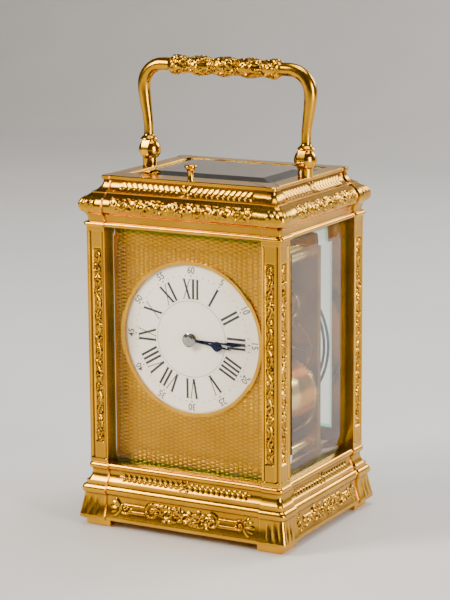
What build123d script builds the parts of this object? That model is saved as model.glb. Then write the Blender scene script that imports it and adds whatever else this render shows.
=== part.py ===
from build123d import *
import os
from math import atan2, cos, hypot, pi, radians, sin, sqrt

# A striking carriage clock in a gorge case, with its handle standing up.
# Millimetres. Origin: middle of the footprint, on the surface it stands on.
# The dial faces -Y, the door is at +Y and +X is the right-hand side seen from the front.

# ---------------------------------------------------------------- driving dimensions
HALF_X = 41.2            # pillar faces, left and right of the middle
HALF_Y = 35.3            # pillar faces, in front of and behind the middle
BREAK = 0.8              # straight mouldings stand this far behind the corner blocks
PILLAR_X = 7.8           # width of a pillar seen from the front
PILLAR_Y = 8.0           # width of a pillar seen from the side
FOOT_TOP = 3.0
BASE_TOP = 25.0
CORNICE_BOTTOM = 117.1
CORNICE_TOP = 136.3

GLASS = 2.2              # full thickness of the bevelled panes
GLASS_EDGE = 1.0         # thickness left at a pane's edge
BEVEL = 8.0              # width of the bevel
GLASS_INSET = 2.6        # outer face of a pane behind the pillar faces
GROOVE_DEPTH = 1.6
GROOVE_SPARE = 0.1       # free space around a pane in its groove

DIAL_Z = 76.0            # height of the dial's centre
DIAL_R = 29.1
DIAL_SIGHT = 28.6        # radius of enamel that shows inside the bezel
DIAL_FACE = -27.5        # front face of the enamel
MASK_FACE = -27.6
MASK = 1.0

PLATE_X = 31.0           # half width of the movement plates
PLATE_TOP = 110.0
PLATE = 2.5
FRONT_PLATE = -21.5      # front face of the front plate
BACK_PLATE = 13.5        # front face of the back plate

PIVOT_X = 33.7           # handle pivots
PIVOT_Z = 142.5
BALL_R = 4.35
GRIP_Z = 175.8           # axis of the hand grip
GRIP_R = 4.2
LEG_R = 2.1

BARREL_X = 17.0          # spring barrels, left (going) and right (striking)
BARREL_Z = 49.5
CONTRATE = (6.0, 98.4)   # (x, z) of the contrate wheel
ESCAPE_Y = -2.2          # the escapement stands in one line along X at this depth
PALLET_X = 0.6
BALANCE_X = -7.0
PLATFORM_TOP = 111.6
BUTTON_Y = -27.5         # repeat button

RUNNING = 0.03           # radial clearance of a pivot in its hole
EASY = 0.05              # radial clearance of a thick arbor
FIXED = 0.02             # radial clearance of a screw or pin that stays put
REACH = 200.0            # longer than the clock, for cutting prisms

PILLAR_CX = HALF_X - PILLAR_X / 2
PILLAR_CY = HALF_Y - PILLAR_Y / 2
OPEN_X = HALF_X - PILLAR_X      # half width between the pillars
OPEN_Y = HALF_Y - PILLAR_Y
BACK_FACE = BACK_PLATE + PLATE  # rear face of the back plate
FRONT_BACK = FRONT_PLATE + PLATE
CORNERS = [(sx, sy) for sx in (-1, 1) for sy in (-1, 1)]
SIDES = (("left", -1), ("right", 1))

os.makedirs("parts", exist_ok=True)


# ---------------------------------------------------------------- helpers
def save(node, shape):
    """Write one sub-part."""
    export_step(shape, f"parts/{node}.step")


def block(x, y, z):
    """Box between two limits on each axis."""
    size = [b - a for a, b in (x, y, z)]
    middle = [(a + b) / 2 for a, b in (x, y, z)]
    return Pos(*middle) * Box(*size)


def mid_block(half_x, half_y, z):
    """Box centred on the clock's vertical axis."""
    return block((-half_x, half_x), (-half_y, half_y), z)


def along_y(sketch, y0, y1):
    """Solid of an (x, z) sketch between two depths."""
    plane = Plane(origin=(0, y1, 0), x_dir=(1, 0, 0), z_dir=(0, -1, 0))
    return extrude(plane * sketch, amount=y1 - y0)


def along_x(sketch, x0, x1):
    """Solid of a (y, z) sketch between two places across the clock."""
    plane = Plane(origin=(x0, 0, 0), x_dir=(0, 1, 0), z_dir=(1, 0, 0))
    return extrude(plane * sketch, amount=x1 - x0)


def along_z(sketch, z0, z1):
    """Solid of an (x, y) sketch between two heights."""
    return extrude(Plane.XY.offset(z0) * sketch, amount=z1 - z0)


def disc(centre, radius):
    return Pos(*centre) * Circle(radius)


def rod_y(centre, radius, y0, y1):
    return along_y(disc(centre, radius), y0, y1)


def rod_z(centre, radius, z0, z1):
    return along_z(disc(centre, radius), z0, z1)


def rod_x(centre, radius, x0, x1):
    return along_x(disc(centre, radius), x0, x1)


def polygon(points):
    return make_face(Polyline(*points, close=True))


def polar(centre, radius, angle):
    return (centre[0] + radius * cos(angle), centre[1] + radius * sin(angle))


def direction(start, end):
    return atan2(end[1] - start[1], end[0] - start[0])


def bar(start, end, width):
    """Straight bar between two points, with round ends."""
    along = direction(start, end)
    side = along + pi / 2
    points = [polar(start, width / 2, side), polar(end, width / 2, side)]
    points += [polar(end, -width / 2, side), polar(start, -width / 2, side)]
    return polygon(points) + disc(start, width / 2) + disc(end, width / 2)


def meeting_arbor(first, reach_first, second, reach_second, side):
    """Arbor that lies at two given distances from two others, on one side of their line."""
    gap = hypot(second[0] - first[0], second[1] - first[1])
    run = (reach_first ** 2 - reach_second ** 2 + gap ** 2) / (2 * gap)
    rise = sqrt(reach_first ** 2 - run ** 2)
    line = direction(first, second)
    return polar(polar(first, run, line), rise, line + side * pi / 2)


# ---------------------------------------------------------------- toothed wheels
WHEEL_TOOTH = (0.95, 1.25, 0.44)     # addendum and dedendum in modules, tooth share of the pitch
PINION_LEAF = (0.75, 1.25, 0.36)
TIP_SHARE = 0.45                     # tip width of a tooth against its width at the pitch circle
ROOT_SHARE = 1.25
RIM = 1.1                            # solid rim inside a wheel's teeth
SPOKE = 1.0


def pitch_radius(teeth, module):
    return teeth * module / 2


def teeth_face(centre, teeth, module, form, facing):
    """Toothed outline with one tooth's middle pointing along the angle `facing`."""
    addendum, dedendum, share = form
    radius = pitch_radius(teeth, module)
    tip, root = radius + addendum * module, radius - dedendum * module
    half = share * pi / teeth
    points = []
    for index in range(teeth):
        middle = facing + 2 * pi * index / teeth
        for reach, angle in ((root, -ROOT_SHARE), (tip, -TIP_SHARE), (tip, TIP_SHARE), (root, ROOT_SHARE)):
            points.append(polar(centre, reach, middle + angle * half))
    return polygon(points)


def wheel_face(centre, teeth, module, facing, hub, spokes=5):
    """Train wheel with its crossings cut out."""
    face = teeth_face(centre, teeth, module, WHEEL_TOOTH, facing)
    inside = pitch_radius(teeth, module) - WHEEL_TOOTH[1] * module - RIM
    window = disc(centre, inside) - disc(centre, hub)
    for index in range(spokes):
        window -= bar(centre, polar(centre, inside + RIM, 2 * pi * index / spokes), SPOKE)
    return face - window


def pinion_face(centre, leaves, module, wheel):
    """Pinion whose gap faces the wheel that drives it."""
    return teeth_face(centre, leaves, module, PINION_LEAF, direction(centre, wheel) + pi / leaves)


def arbor(centre, radius=0.8, pivot=0.45, front=FRONT_PLATE, back=BACK_FACE):
    """Arbor between the plates, with a thinner pivot at each end."""
    shoulder = 0.3
    body = rod_y(centre, radius, front + PLATE + shoulder, back - PLATE - shoulder)
    return body + rod_y(centre, pivot, front, back)


# Going train: (wheel teeth, pinion leaves, module) of each mesh, from the barrel upwards.
GREAT = (80, 10, 0.40)
INTERMEDIATE = (60, 10, 0.42)
CENTRE = (80, 10, 0.32)
THIRD = (75, 10, 0.28)
STRIKE_SECOND = (80, 10, 0.28)
PIN_WHEEL = (60, 10, 0.26)
WARNING = (50, 8, 0.24)
CONTRATE_TEETH, CONTRATE_R = 80, 10.0
ESCAPE_LEAVES = 8


def mesh_distance(mesh):
    wheel, pinion, module = mesh
    return pitch_radius(wheel + pinion, module)


centre_arbor = (0.0, DIAL_Z)
going_arbor = (-BARREL_X, BARREL_Z)
strike_arbor = (BARREL_X, BARREL_Z)
intermediate_arbor = meeting_arbor(
    going_arbor, mesh_distance(GREAT), centre_arbor, mesh_distance(INTERMEDIATE), 1
)
third_arbor = meeting_arbor(centre_arbor, mesh_distance(CENTRE), CONTRATE, mesh_distance(THIRD), 1)
second_arbor = polar(strike_arbor, mesh_distance(GREAT), radians(85.2))
pin_arbor = polar(second_arbor, mesh_distance(STRIKE_SECOND), radians(101.4))
warning_arbor = polar(pin_arbor, mesh_distance(PIN_WHEEL), radians(44.5))
fly_arbor = polar(warning_arbor, mesh_distance(WARNING), radians(106.7))
train_arbors = [
    intermediate_arbor, third_arbor, CONTRATE, second_arbor, pin_arbor, warning_arbor, fly_arbor
]


# ---------------------------------------------------------------- mouldings
# Each step is one end point, or a point on the way and an end point of an arc.
# Points are (outwards from the pillar face, height).
BASE_START = (3.3, FOOT_TOP)
BASE_STEPS = [
    [(3.8, 3.5)],
    [(3.8, 4.5)],
    [(2.62, 8.5), (2.2, 12.9)],
    [(3.0, 14.8), (2.2, 16.4)],
    [(1.7, 16.4)],
    [(1.7, 17.9)],
    [(1.35, 17.9)],
    [(0.35, 19.5), (0.0, 22.3)],
    [(0.85, 23.7), (0.0, BASE_TOP)],
]
CORNICE_START = (0.0, CORNICE_BOTTOM)
CORNICE_STEPS = [
    [(1.2, 118.1), (0.0, 119.1)],
    [(0.0, 120.0)],
    [(0.55, 121.7), (1.9, 123.0)],
    [(2.3, 126.1), (0.1, 128.9)],
    [(-1.2, 129.9)],
    [(-1.2, 130.3)],
    [(-3.5, 131.8), (-4.5, 134.4)],
    [(-3.9, 135.0)],
    [(-3.9, 136.0)],
    [(-4.2, CORNICE_TOP)],
]


def moulding_section(half, start, steps):
    """Whole section of a moulded frame that is `half` wide at the pillar face."""
    here = (half + start[0], start[1])
    edges = []
    for step in steps:
        points = [(half + out, height) for out, height in step]
        if len(points) == 1:
            edges.append(Line(here, points[0]))
        else:
            edges.append(ThreePointArc(here, points[0], points[1]))
        here = points[-1]
    edges += [mirror(edge, Plane.YZ) for edge in edges]
    edges.append(Line(here, (-here[0], here[1])))
    edges.append(Line((half + start[0], start[1]), (-half - start[0], start[1])))
    return make_face(edges)


def moulded_block(start, steps, setback):
    """Block with the moulding on all four sides, mitred at its corners."""
    across = along_y(moulding_section(HALF_X - setback, start, steps), -REACH, REACH)
    along = along_x(moulding_section(HALF_Y - setback, start, steps), -REACH, REACH)
    return across & along


def moulded_frame(start, steps):
    """Moulded block whose corners break forward over the pillars."""
    heights = (start[1], steps[-1][-1][1])
    proud = moulded_block(start, steps, 0.0)
    frame = moulded_block(start, steps, BREAK)
    for sx, sy in CORNERS:
        x = sorted((sx * OPEN_X, sx * REACH))
        y = sorted((sy * OPEN_Y, sy * REACH))
        frame += proud & block(x, y, heights)
    return frame


# ---------------------------------------------------------------- panes and their grooves
PANE_X = OPEN_X + GROOVE_DEPTH - 2 * GROOVE_SPARE
PANE_Y = OPEN_Y + GROOVE_DEPTH - 2 * GROOVE_SPARE
SLOT = 1.1                              # depth of the grooves in base and cornice
PANE_Z = (BASE_TOP - SLOT + GROOVE_SPARE, CORNICE_BOTTOM + SLOT - GROOVE_SPARE)
FRONT_INNER = -HALF_Y + GLASS_INSET + GLASS     # inner face of the front pane
SIDE_INNER = HALF_X - GLASS_INSET - GLASS       # inner face of a side pane
GROOVE = 1.6                            # width of a groove


def pane(width, height, bevel=BEVEL):
    """Bevelled pane, flat on the XY plane with its bevels upwards."""
    slab = Pos(0, 0, GLASS_EDGE / 2) * Box(width, height, GLASS_EDGE)
    lower = Pos(0, 0, GLASS_EDGE) * Rectangle(width, height)
    upper = Pos(0, 0, GLASS) * Rectangle(width - 2 * bevel, height - 2 * bevel)
    return slab + loft([lower.face(), upper.face()], ruled=True)


def groove_y(face):
    """Depths between which a groove runs for a front or rear pane whose inner face is given."""
    outwards = -1 if face < 0 else 1
    return sorted((face - outwards * GROOVE_SPARE, face + outwards * (GROOVE - GROOVE_SPARE)))


def side_groove(side):
    return sorted((side * (SIDE_INNER - GROOVE_SPARE), side * (SIDE_INNER + GROOVE - GROOVE_SPARE)))


def pane_slots(z):
    """Cutter for the grooves of the three fixed panes in the base or the cornice."""
    half_x = OPEN_X + GROOVE_DEPTH
    half_y = OPEN_Y + GROOVE_DEPTH
    cutter = block((-half_x, half_x), groove_y(FRONT_INNER), z)
    for _, side in SIDES:
        cutter += block(side_groove(side), (-half_y, half_y), z)
    return cutter


def pane_z_middle():
    return sum(PANE_Z) / 2


# ---------------------------------------------------------------- base, feet and pillars
CAVITY_X, CAVITY_Y = 33.0, 27.0         # underside cavity of the base, half sizes
DECK_BOTTOM = 21.0
SCREW_R, SCREW_HEAD_R = 1.4, 2.6
SCREW_HEAD = (0.6, 2.1)
SCREW_TOP = 33.0
TENON_R, TENON_TOP = 2.0, 123.0
FOOT_HALF = 5.25
HINGE_X, HINGE_Y = -31.4, 33.5          # rear door hinge axis
HINGE_PIN_R = 0.8
HINGE_PIN_LOW = (BASE_TOP - 2.5, BASE_TOP + 2.8)
HINGE_PIN_HIGH = (CORNICE_BOTTOM - 2.8, CORNICE_BOTTOM + 2.5)
PILLAR_ROUND = 0.7

base = moulded_frame(BASE_START, BASE_STEPS)
base -= mid_block(CAVITY_X, CAVITY_Y, (0.0, DECK_BOTTOM))
base -= pane_slots((BASE_TOP - SLOT, BASE_TOP + 1.0))
base -= rod_z((HINGE_X, HINGE_Y), HINGE_PIN_R + FIXED, HINGE_PIN_LOW[0], BASE_TOP + 1.0)
for sx, sy in CORNERS:
    base -= rod_z((sx * PILLAR_CX, sy * PILLAR_CY), SCREW_R + FIXED, 0.0, BASE_TOP + 1.0)
save("base_frame", base)


def foot(sx, sy):
    """Square pad under a corner, bored for the long case screw."""
    x, y = sx * PILLAR_CX, sy * PILLAR_CY
    pad = Pos(x, y, FOOT_TOP / 2) * Box(2 * FOOT_HALF, 2 * FOOT_HALF, FOOT_TOP)
    pad = chamfer(pad.faces().sort_by(Axis.Z)[0].edges(), 0.5)
    pad -= rod_z((x, y), SCREW_HEAD_R + 0.2, -1.0, SCREW_HEAD[1])
    return pad - rod_z((x, y), SCREW_R + FIXED, 0.0, FOOT_TOP + 1.0)


def case_screw(sx, sy):
    """Long screw that holds a foot, the base and a pillar together."""
    centre = (sx * PILLAR_CX, sy * PILLAR_CY)
    screw = rod_z(centre, SCREW_HEAD_R, *SCREW_HEAD) + rod_z(centre, SCREW_R, SCREW_HEAD[1], SCREW_TOP)
    slot = Pos(centre[0], centre[1], SCREW_HEAD[0]) * Box(2.2 * SCREW_HEAD_R, 0.6, 0.8)
    return screw - slot


save("feet", Compound([foot(sx, sy).solid() for sx, sy in CORNERS]))
save("case_screws", Compound([case_screw(sx, sy).solid() for sx, sy in CORNERS]))


def pillar(sx, sy):
    """Square corner pillar, grooved for the panes beside it."""
    x = sorted((sx * OPEN_X, sx * HALF_X))
    y = sorted((sy * OPEN_Y, sy * HALF_Y))
    body = block(x, y, (BASE_TOP, CORNICE_BOTTOM))
    outer = body.edges().filter_by(Axis.Z).sort_by(lambda e: sx * e.center().X + sy * e.center().Y)[-1]
    body = fillet(outer, PILLAR_ROUND)
    centre = (sx * PILLAR_CX, sy * PILLAR_CY)
    body += rod_z(centre, TENON_R, CORNICE_BOTTOM, TENON_TOP)
    body -= rod_z(centre, SCREW_R + FIXED, BASE_TOP - 1.0, SCREW_TOP + 1.0)
    z = (BASE_TOP - 1.0, CORNICE_BOTTOM)
    side_y = sorted((sy * (OPEN_Y - 1.0), sy * (OPEN_Y + GROOVE_DEPTH)))
    body -= block(side_groove(sx), side_y, z)
    if sy < 0:
        front_x = sorted((sx * (OPEN_X - 1.0), sx * (OPEN_X + GROOVE_DEPTH)))
        body -= block(front_x, groove_y(FRONT_INNER), z)
    return body


for place, sy in (("front", -1), ("rear", 1)):
    for name, sx in SIDES:
        save(f"pillar_{place}_{name}", pillar(sx, sy))


# ---------------------------------------------------------------- cornice with the top glass
TOP_GLASS_X = 30.3
TOP_GLASS_Y = (-21.3, 25.0)
TOP_LEDGE = 134.7                       # the glass rests here
LEDGE = 1.2
TOP_POCKET = ((-31.5, 31.5), (-22.5, 26.2), (CORNICE_BOTTOM - 1.0, 132.7))
POST_STUD_R, POST_STUD_BOTTOM = 1.5, 130.0
BUTTON_R = 1.3                          # stem of the repeat button
BUTTON_BOTTOM = 121.6
LEVER_POCKET = ((-3.0, 3.0), (-29.6, -22.0), (CORNICE_BOTTOM - 1.0, 123.4))

top_frame = moulded_frame(CORNICE_START, CORNICE_STEPS)
top_frame -= block(*TOP_POCKET)
glass_y = (TOP_GLASS_Y[0] + LEDGE, TOP_GLASS_Y[1] - LEDGE)
top_frame -= block(
    (-TOP_GLASS_X + LEDGE, TOP_GLASS_X - LEDGE), glass_y, (TOP_POCKET[2][0], CORNICE_TOP + 1.0)
)
rebate_y = (TOP_GLASS_Y[0] - GROOVE_SPARE, TOP_GLASS_Y[1] + GROOVE_SPARE)
rebate_x = (-TOP_GLASS_X - GROOVE_SPARE, TOP_GLASS_X + GROOVE_SPARE)
top_frame -= block(rebate_x, rebate_y, (TOP_LEDGE, CORNICE_TOP + 1.0))
top_frame -= pane_slots((CORNICE_BOTTOM - 1.0, CORNICE_BOTTOM + SLOT))
top_frame -= rod_z((0, BUTTON_Y), BUTTON_R + EASY, CORNICE_BOTTOM, CORNICE_TOP + 1.0)
top_frame -= block(*LEVER_POCKET)
top_frame -= rod_z((HINGE_X, HINGE_Y), HINGE_PIN_R + FIXED, CORNICE_BOTTOM - 1.0, HINGE_PIN_HIGH[1])
for sx, sy in CORNERS:
    top_frame -= rod_z(
        (sx * PILLAR_CX, sy * PILLAR_CY), TENON_R + FIXED, CORNICE_BOTTOM - 1.0, TENON_TOP + 0.2
    )
for _, sx in SIDES:
    top_frame -= rod_z((sx * PIVOT_X, 0), POST_STUD_R + FIXED, POST_STUD_BOTTOM - 0.2, CORNICE_TOP + 1.0)
save("top_frame", top_frame)

glass_middle = (0, sum(TOP_GLASS_Y) / 2, TOP_LEDGE)
save("top_glass", Pos(*glass_middle) * pane(2 * TOP_GLASS_X, TOP_GLASS_Y[1] - TOP_GLASS_Y[0], 7.0))

pane_height = PANE_Z[1] - PANE_Z[0]
front_plane = Plane(origin=(0, FRONT_INNER, pane_z_middle()), x_dir=(1, 0, 0), z_dir=(0, -1, 0))
save("front_glass", front_plane * pane(2 * PANE_X, pane_height))
for name, sx in SIDES:
    side_plane = Plane(origin=(sx * SIDE_INNER, 0, pane_z_middle()), x_dir=(0, sx, 0), z_dir=(sx, 0, 0))
    save(f"{name}_glass", side_plane * pane(2 * PANE_Y, pane_height))


# ---------------------------------------------------------------- rear door
DOOR_GAP = 0.4
DOOR_T = 3.2
STILE = 5.0
DOOR_X = OPEN_X - DOOR_GAP
DOOR_Z = (BASE_TOP + DOOR_GAP, CORNICE_BOTTOM - DOOR_GAP)
DOOR_Y = (HINGE_Y - DOOR_T / 2, HINGE_Y + DOOR_T / 2)
KNOB_Z = 71.0
KNOB_R = 2.2

door_mid_z = sum(DOOR_Z) / 2
door_open_x = DOOR_X - STILE
door_open_z = (DOOR_Z[0] + STILE, DOOR_Z[1] - STILE)
door = block((HINGE_X, DOOR_X), DOOR_Y, DOOR_Z) + rod_z((HINGE_X, HINGE_Y), DOOR_T / 2, *DOOR_Z)
door -= block((-door_open_x, door_open_x), (DOOR_Y[0] - 1, DOOR_Y[1] + 1), door_open_z)
rebate = GROOVE_DEPTH
door_inner = DOOR_Y[0] + 0.9            # inner face of the door's pane
door -= block(
    (-door_open_x - rebate, door_open_x + rebate),
    (door_inner - GROOVE_SPARE, door_inner + GROOVE - GROOVE_SPARE),
    (door_open_z[0] - rebate, door_open_z[1] + rebate),
)
hinge_bore = HINGE_PIN_R + RUNNING
door -= rod_z((HINGE_X, HINGE_Y), hinge_bore, DOOR_Z[0] - 1.0, HINGE_PIN_LOW[1] + 0.4)
door -= rod_z((HINGE_X, HINGE_Y), hinge_bore, HINGE_PIN_HIGH[0] - 0.4, DOOR_Z[1] + 1.0)
knob_x = DOOR_X - STILE / 2
door -= rod_y((knob_x, KNOB_Z), 0.8 + FIXED, DOOR_Y[1] - 1.6, DOOR_Y[1] + 1.0)
save("door_frame", door)

door_pane = pane(
    2 * (door_open_x + rebate - GROOVE_SPARE),
    door_open_z[1] - door_open_z[0] + 2 * rebate - 2 * GROOVE_SPARE,
)
door_plane = Plane(origin=(0, door_inner, door_mid_z), x_dir=(-1, 0, 0), z_dir=(0, 1, 0))
save("door_glass", door_plane * door_pane)

hinge = (HINGE_X, HINGE_Y)
door_pins = [rod_z(hinge, HINGE_PIN_R, *span).solid() for span in (HINGE_PIN_LOW, HINGE_PIN_HIGH)]
save("door_pins", Compound(door_pins))

knob_outline = [
    (0, -1.4), (0.8, -1.4), (0.8, 0), (1.3, 0), (1.0, 1.0),
    (KNOB_R, 1.9), (KNOB_R, 2.7), (1.2, 3.3), (0, 3.3),
]
knob_plane = Plane(origin=(knob_x, DOOR_Y[1], KNOB_Z), x_dir=(1, 0, 0), z_dir=(0, 0, 1))
save("door_knob", revolve(knob_plane * polygon(knob_outline), Axis((knob_x, 0, KNOB_Z), (0, 1, 0))))


# ---------------------------------------------------------------- handle on its two ball posts
TONGUE = 1.45                           # half thickness of the tongue in the ball's slot
SLOT_HALF = 1.6
TONGUE_R = 4.2
NECK_R = 2.9
LEG_START = PIVOT_Z + 4.7
HANDLE_PIN_R = 0.8
LEG_ROUTE = [(34.05, LEG_START), (34.05, 152.5), (35.85, 163.5), (35.85, GRIP_Z), (24.0, GRIP_Z)]
LEG_RADII = [25.0, 25.0, 8.55]
GRIP_HALF = 24.5
GRIP_NECK_R = 3.3
GRIP_LOBES = 5


def handle_post(sx):
    """Ball cut by a slot, on a short neck with a stud below."""
    pivot = (sx * PIVOT_X, 0, PIVOT_Z)
    ball = Pos(*pivot) * Sphere(BALL_R)
    post = ball + rod_z(pivot[:2], NECK_R, CORNICE_TOP, PIVOT_Z - 3.0)
    slot_x = (pivot[0] - SLOT_HALF, pivot[0] + SLOT_HALF)
    room = Pos(*pivot) * Sphere(TONGUE_R + 0.2) & block(slot_x, (-REACH, REACH), (0, REACH))
    post -= room
    post += rod_z(pivot[:2], POST_STUD_R, POST_STUD_BOTTOM, CORNICE_TOP)
    return post - rod_x((0, PIVOT_Z), HANDLE_PIN_R + FIXED, pivot[0] - REACH / 10, pivot[0] + REACH / 10)


def handle_leg():
    """Right-hand leg, from above the pivot round the shoulder to the grip."""
    route = FilletPolyline(*[(x, 0, z) for x, z in LEG_ROUTE], radius=LEG_RADII)
    section = Plane(origin=route @ 0, z_dir=route % 0) * Circle(LEG_R)
    return sweep(section, path=route)


def handle_tongue():
    """Right-hand tongue, bored for its pin."""
    pivot = (PIVOT_X, 0, PIVOT_Z)
    x = (PIVOT_X - TONGUE, PIVOT_X + TONGUE)
    tongue = Pos(*pivot) * Sphere(TONGUE_R) & block(x, (-REACH, REACH), (0, REACH))
    tongue += block(x, (-1.9, 1.9), (PIVOT_Z, LEG_START + 1.0))
    return tongue - rod_x((0, PIVOT_Z), HANDLE_PIN_R + RUNNING, *x)


def handle_grip():
    """Turned grip with a row of lobes."""
    pitch = 2 * GRIP_HALF / GRIP_LOBES
    edges = []
    for lobe in range(GRIP_LOBES):
        x = -GRIP_HALF + lobe * pitch
        ends = ((x, GRIP_NECK_R), (x + pitch, GRIP_NECK_R))
        edges.append(ThreePointArc(ends[0], (x + pitch / 2, GRIP_R), ends[1]))
    edges += [Line((GRIP_HALF, GRIP_NECK_R), (GRIP_HALF, 0)), Line((GRIP_HALF, 0), (-GRIP_HALF, 0))]
    edges.append(Line((-GRIP_HALF, 0), (-GRIP_HALF, GRIP_NECK_R)))
    return Pos(0, 0, GRIP_Z) * revolve(make_face(edges), Axis.X)


half_handle = handle_leg() + handle_tongue()
save("handle", half_handle + mirror(half_handle, Plane.YZ) + handle_grip())
pins = []
for name, sx in SIDES:
    save(f"handle_post_{name}", handle_post(sx))
    pin = rod_x((0, PIVOT_Z), HANDLE_PIN_R, sx * PIVOT_X - BALL_R - 0.2, sx * PIVOT_X + BALL_R + 0.2)
    pins.append(pin.solid())
save("handle_pins", Compound(pins))


# ---------------------------------------------------------------- repeat work
LEVER_PIVOT = (-20.25, 120.5)           # (y, z)
LEVER_PIN_R = 0.55
EAR_X = (2.2, 5.2)
EAR_TOP = 122.2

button_outline = [(0, BUTTON_BOTTOM), (0.4, BUTTON_BOTTOM), (BUTTON_R, BUTTON_BOTTOM + 1.5)]
button_outline += [(BUTTON_R, 139.4), (1.7, 140.3), (2.4, 140.5)]
button_outline += [(2.4, 141.4), (1.6, 142.1), (0, 142.3)]
button_plane = Plane(origin=(0, BUTTON_Y, 0), x_dir=(1, 0, 0), z_dir=(0, -1, 0))
save("repeat_button", revolve(button_plane * polygon(button_outline), Axis((0, BUTTON_Y, 0), (0, 0, 1))))

lever = block(
    (-1.5, 1.5), (BUTTON_Y - 0.8, LEVER_PIVOT[0] + 1.2), (LEVER_PIVOT[1] - 0.9, LEVER_PIVOT[1] + 0.9)
)
save("repeat_lever", lever + rod_x(LEVER_PIVOT, LEVER_PIN_R, 1.5, EAR_X[1]))


# ---------------------------------------------------------------- dial, mask and hands
MASK_Z = (BASE_TOP + 0.2, CORNICE_BOTTOM - 0.5)
MASK_FEET = [(sx * 25.5, z) for sx in (-1, 1) for z in (38.0, 96.0)]
BEZEL_R = 29.9
PIPE_R = 1.8                            # hour pipe
CANNON_R = 0.9
CENTRE_TIP_R = 0.5

mask_sketch = Pos(0, sum(MASK_Z) / 2) * Rectangle(2 * (OPEN_X - 0.2), MASK_Z[1] - MASK_Z[0])
mask = along_y(mask_sketch - disc(centre_arbor, DIAL_R + GROOVE_SPARE), MASK_FACE, MASK_FACE + MASK)
for foot_centre in MASK_FEET:
    mask += rod_y(foot_centre, 1.2, MASK_FACE + MASK, FRONT_PLATE)
save("dial_mask", mask)
save("dial", rod_y(centre_arbor, DIAL_R, DIAL_FACE, -26.3) - rod_y(centre_arbor, 2.1, -REACH, REACH))
bezel = rod_y(centre_arbor, BEZEL_R, -28.2, MASK_FACE) - rod_y(centre_arbor, DIAL_SIGHT, -REACH, REACH)
save("dial_bezel", bezel)

MOTION = (12, 36, 10, 40)               # cannon pinion, minute wheel, minute pinion, hour wheel
MOTION_DISTANCE = 6.0
cannon_module = 2 * MOTION_DISTANCE / (MOTION[0] + MOTION[1])
hour_module = 2 * MOTION_DISTANCE / (MOTION[2] + MOTION[3])
minute_stud = polar(centre_arbor, MOTION_DISTANCE, radians(-40))

cannon_face = teeth_face(
    centre_arbor, MOTION[0], cannon_module, PINION_LEAF,
    direction(centre_arbor, minute_stud) + pi / MOTION[0],
)
cannon = along_y(cannon_face, -23.6, -22.2) + rod_y(centre_arbor, CANNON_R, -29.4, -22.2)
save("cannon_pinion", cannon - rod_y(centre_arbor, CENTRE_TIP_R + FIXED, -REACH, REACH))

to_centre = direction(minute_stud, centre_arbor)
minute_wheel = along_y(
    teeth_face(minute_stud, MOTION[1], cannon_module, WHEEL_TOOTH, to_centre), -23.3, -22.5
)
minute_leaves = teeth_face(minute_stud, MOTION[2], hour_module, PINION_LEAF, to_centre + pi / MOTION[2])
minute_wheel += along_y(minute_leaves, -25.4, -23.3)
STUD_R = 0.5
save("minute_wheel", minute_wheel - rod_y(minute_stud, STUD_R + RUNNING, -REACH, REACH))

hour_face = teeth_face(
    centre_arbor, MOTION[3], hour_module, WHEEL_TOOTH, direction(centre_arbor, minute_stud)
)
hour_wheel = along_y(hour_face, -25.3, -24.5) + rod_y(centre_arbor, PIPE_R, -28.8, -24.5)
save("hour_wheel", hour_wheel - rod_y(centre_arbor, CANNON_R + EASY, -REACH, REACH))

HOUR_ANGLE = radians(90 - 97.5)         # a quarter past three
MINUTE_ANGLE = radians(0)


def spade(bulb, bulb_r, tip, angle, width):
    """Spade hand: boss, slim shank, heart-shaped bulb and point."""
    root, swell = centre_arbor, polar(centre_arbor, bulb, angle)
    side = angle + pi / 2
    shank = [polar(root, width, side), polar(swell, width * 0.6, side)]
    shank += [polar(swell, -width * 0.6, side), polar(root, -width, side)]
    point = [polar(swell, bulb_r * 0.85, side), polar(root, tip, angle), polar(swell, -bulb_r * 0.85, side)]
    return polygon(shank) + disc(swell, bulb_r) + polygon(point)


hour_hand = spade(12.0, 1.9, 17.0, HOUR_ANGLE, 0.75) + disc(centre_arbor, 2.7)
save("hour_hand", along_y(hour_hand - disc(centre_arbor, PIPE_R + FIXED), -28.7, -28.4))
minute_hand = spade(20.0, 1.15, 25.3, MINUTE_ANGLE, 0.7) + disc(centre_arbor, 2.5)
save("minute_hand", along_y(minute_hand - disc(centre_arbor, CANNON_R + FIXED), -29.4, -29.1))
COLLET_R = 2.75
collet_outline = [
    (0.55, -29.4), (0.55, -29.75), (0.0, -29.75), (0.0, -30.0),
    (1.4, -29.9), (2.3, -29.7), (COLLET_R, -29.4),
]
collet_plane = Plane(origin=(0, 0, DIAL_Z), x_dir=(1, 0, 0), z_dir=(0, 0, 1))
save("hand_collet", revolve(collet_plane * polygon(collet_outline), Axis((0, 0, DIAL_Z), (0, 1, 0))))


# ---------------------------------------------------------------- movement plates
PLATE_PILLARS = [(sx * 26.0, z) for sx in (-1, 1) for z in (29.5, 104.5)]
PLATE_PILLAR_R = 2.6
PLATE_SCREW_R, PLATE_SCREW_HEAD = 1.1, (2.2, 1.2)
BARREL_PIVOT_R, ARBOR_R = 1.5, 2.0
CENTRE_R = 1.2                          # rear end of the centre arbor
CLICK_ABOVE = 9.6                       # click pivot above a barrel arbor
CLICK_PIN_R = 0.8
CLICK_BOSS = 1.5
HAMMER_PIVOT = (9.0, 90.0)
HAMMER_STUD_R = 0.9
click_pivots = {name: (sx * BARREL_X, BARREL_Z + CLICK_ABOVE) for name, sx in SIDES}


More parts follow.
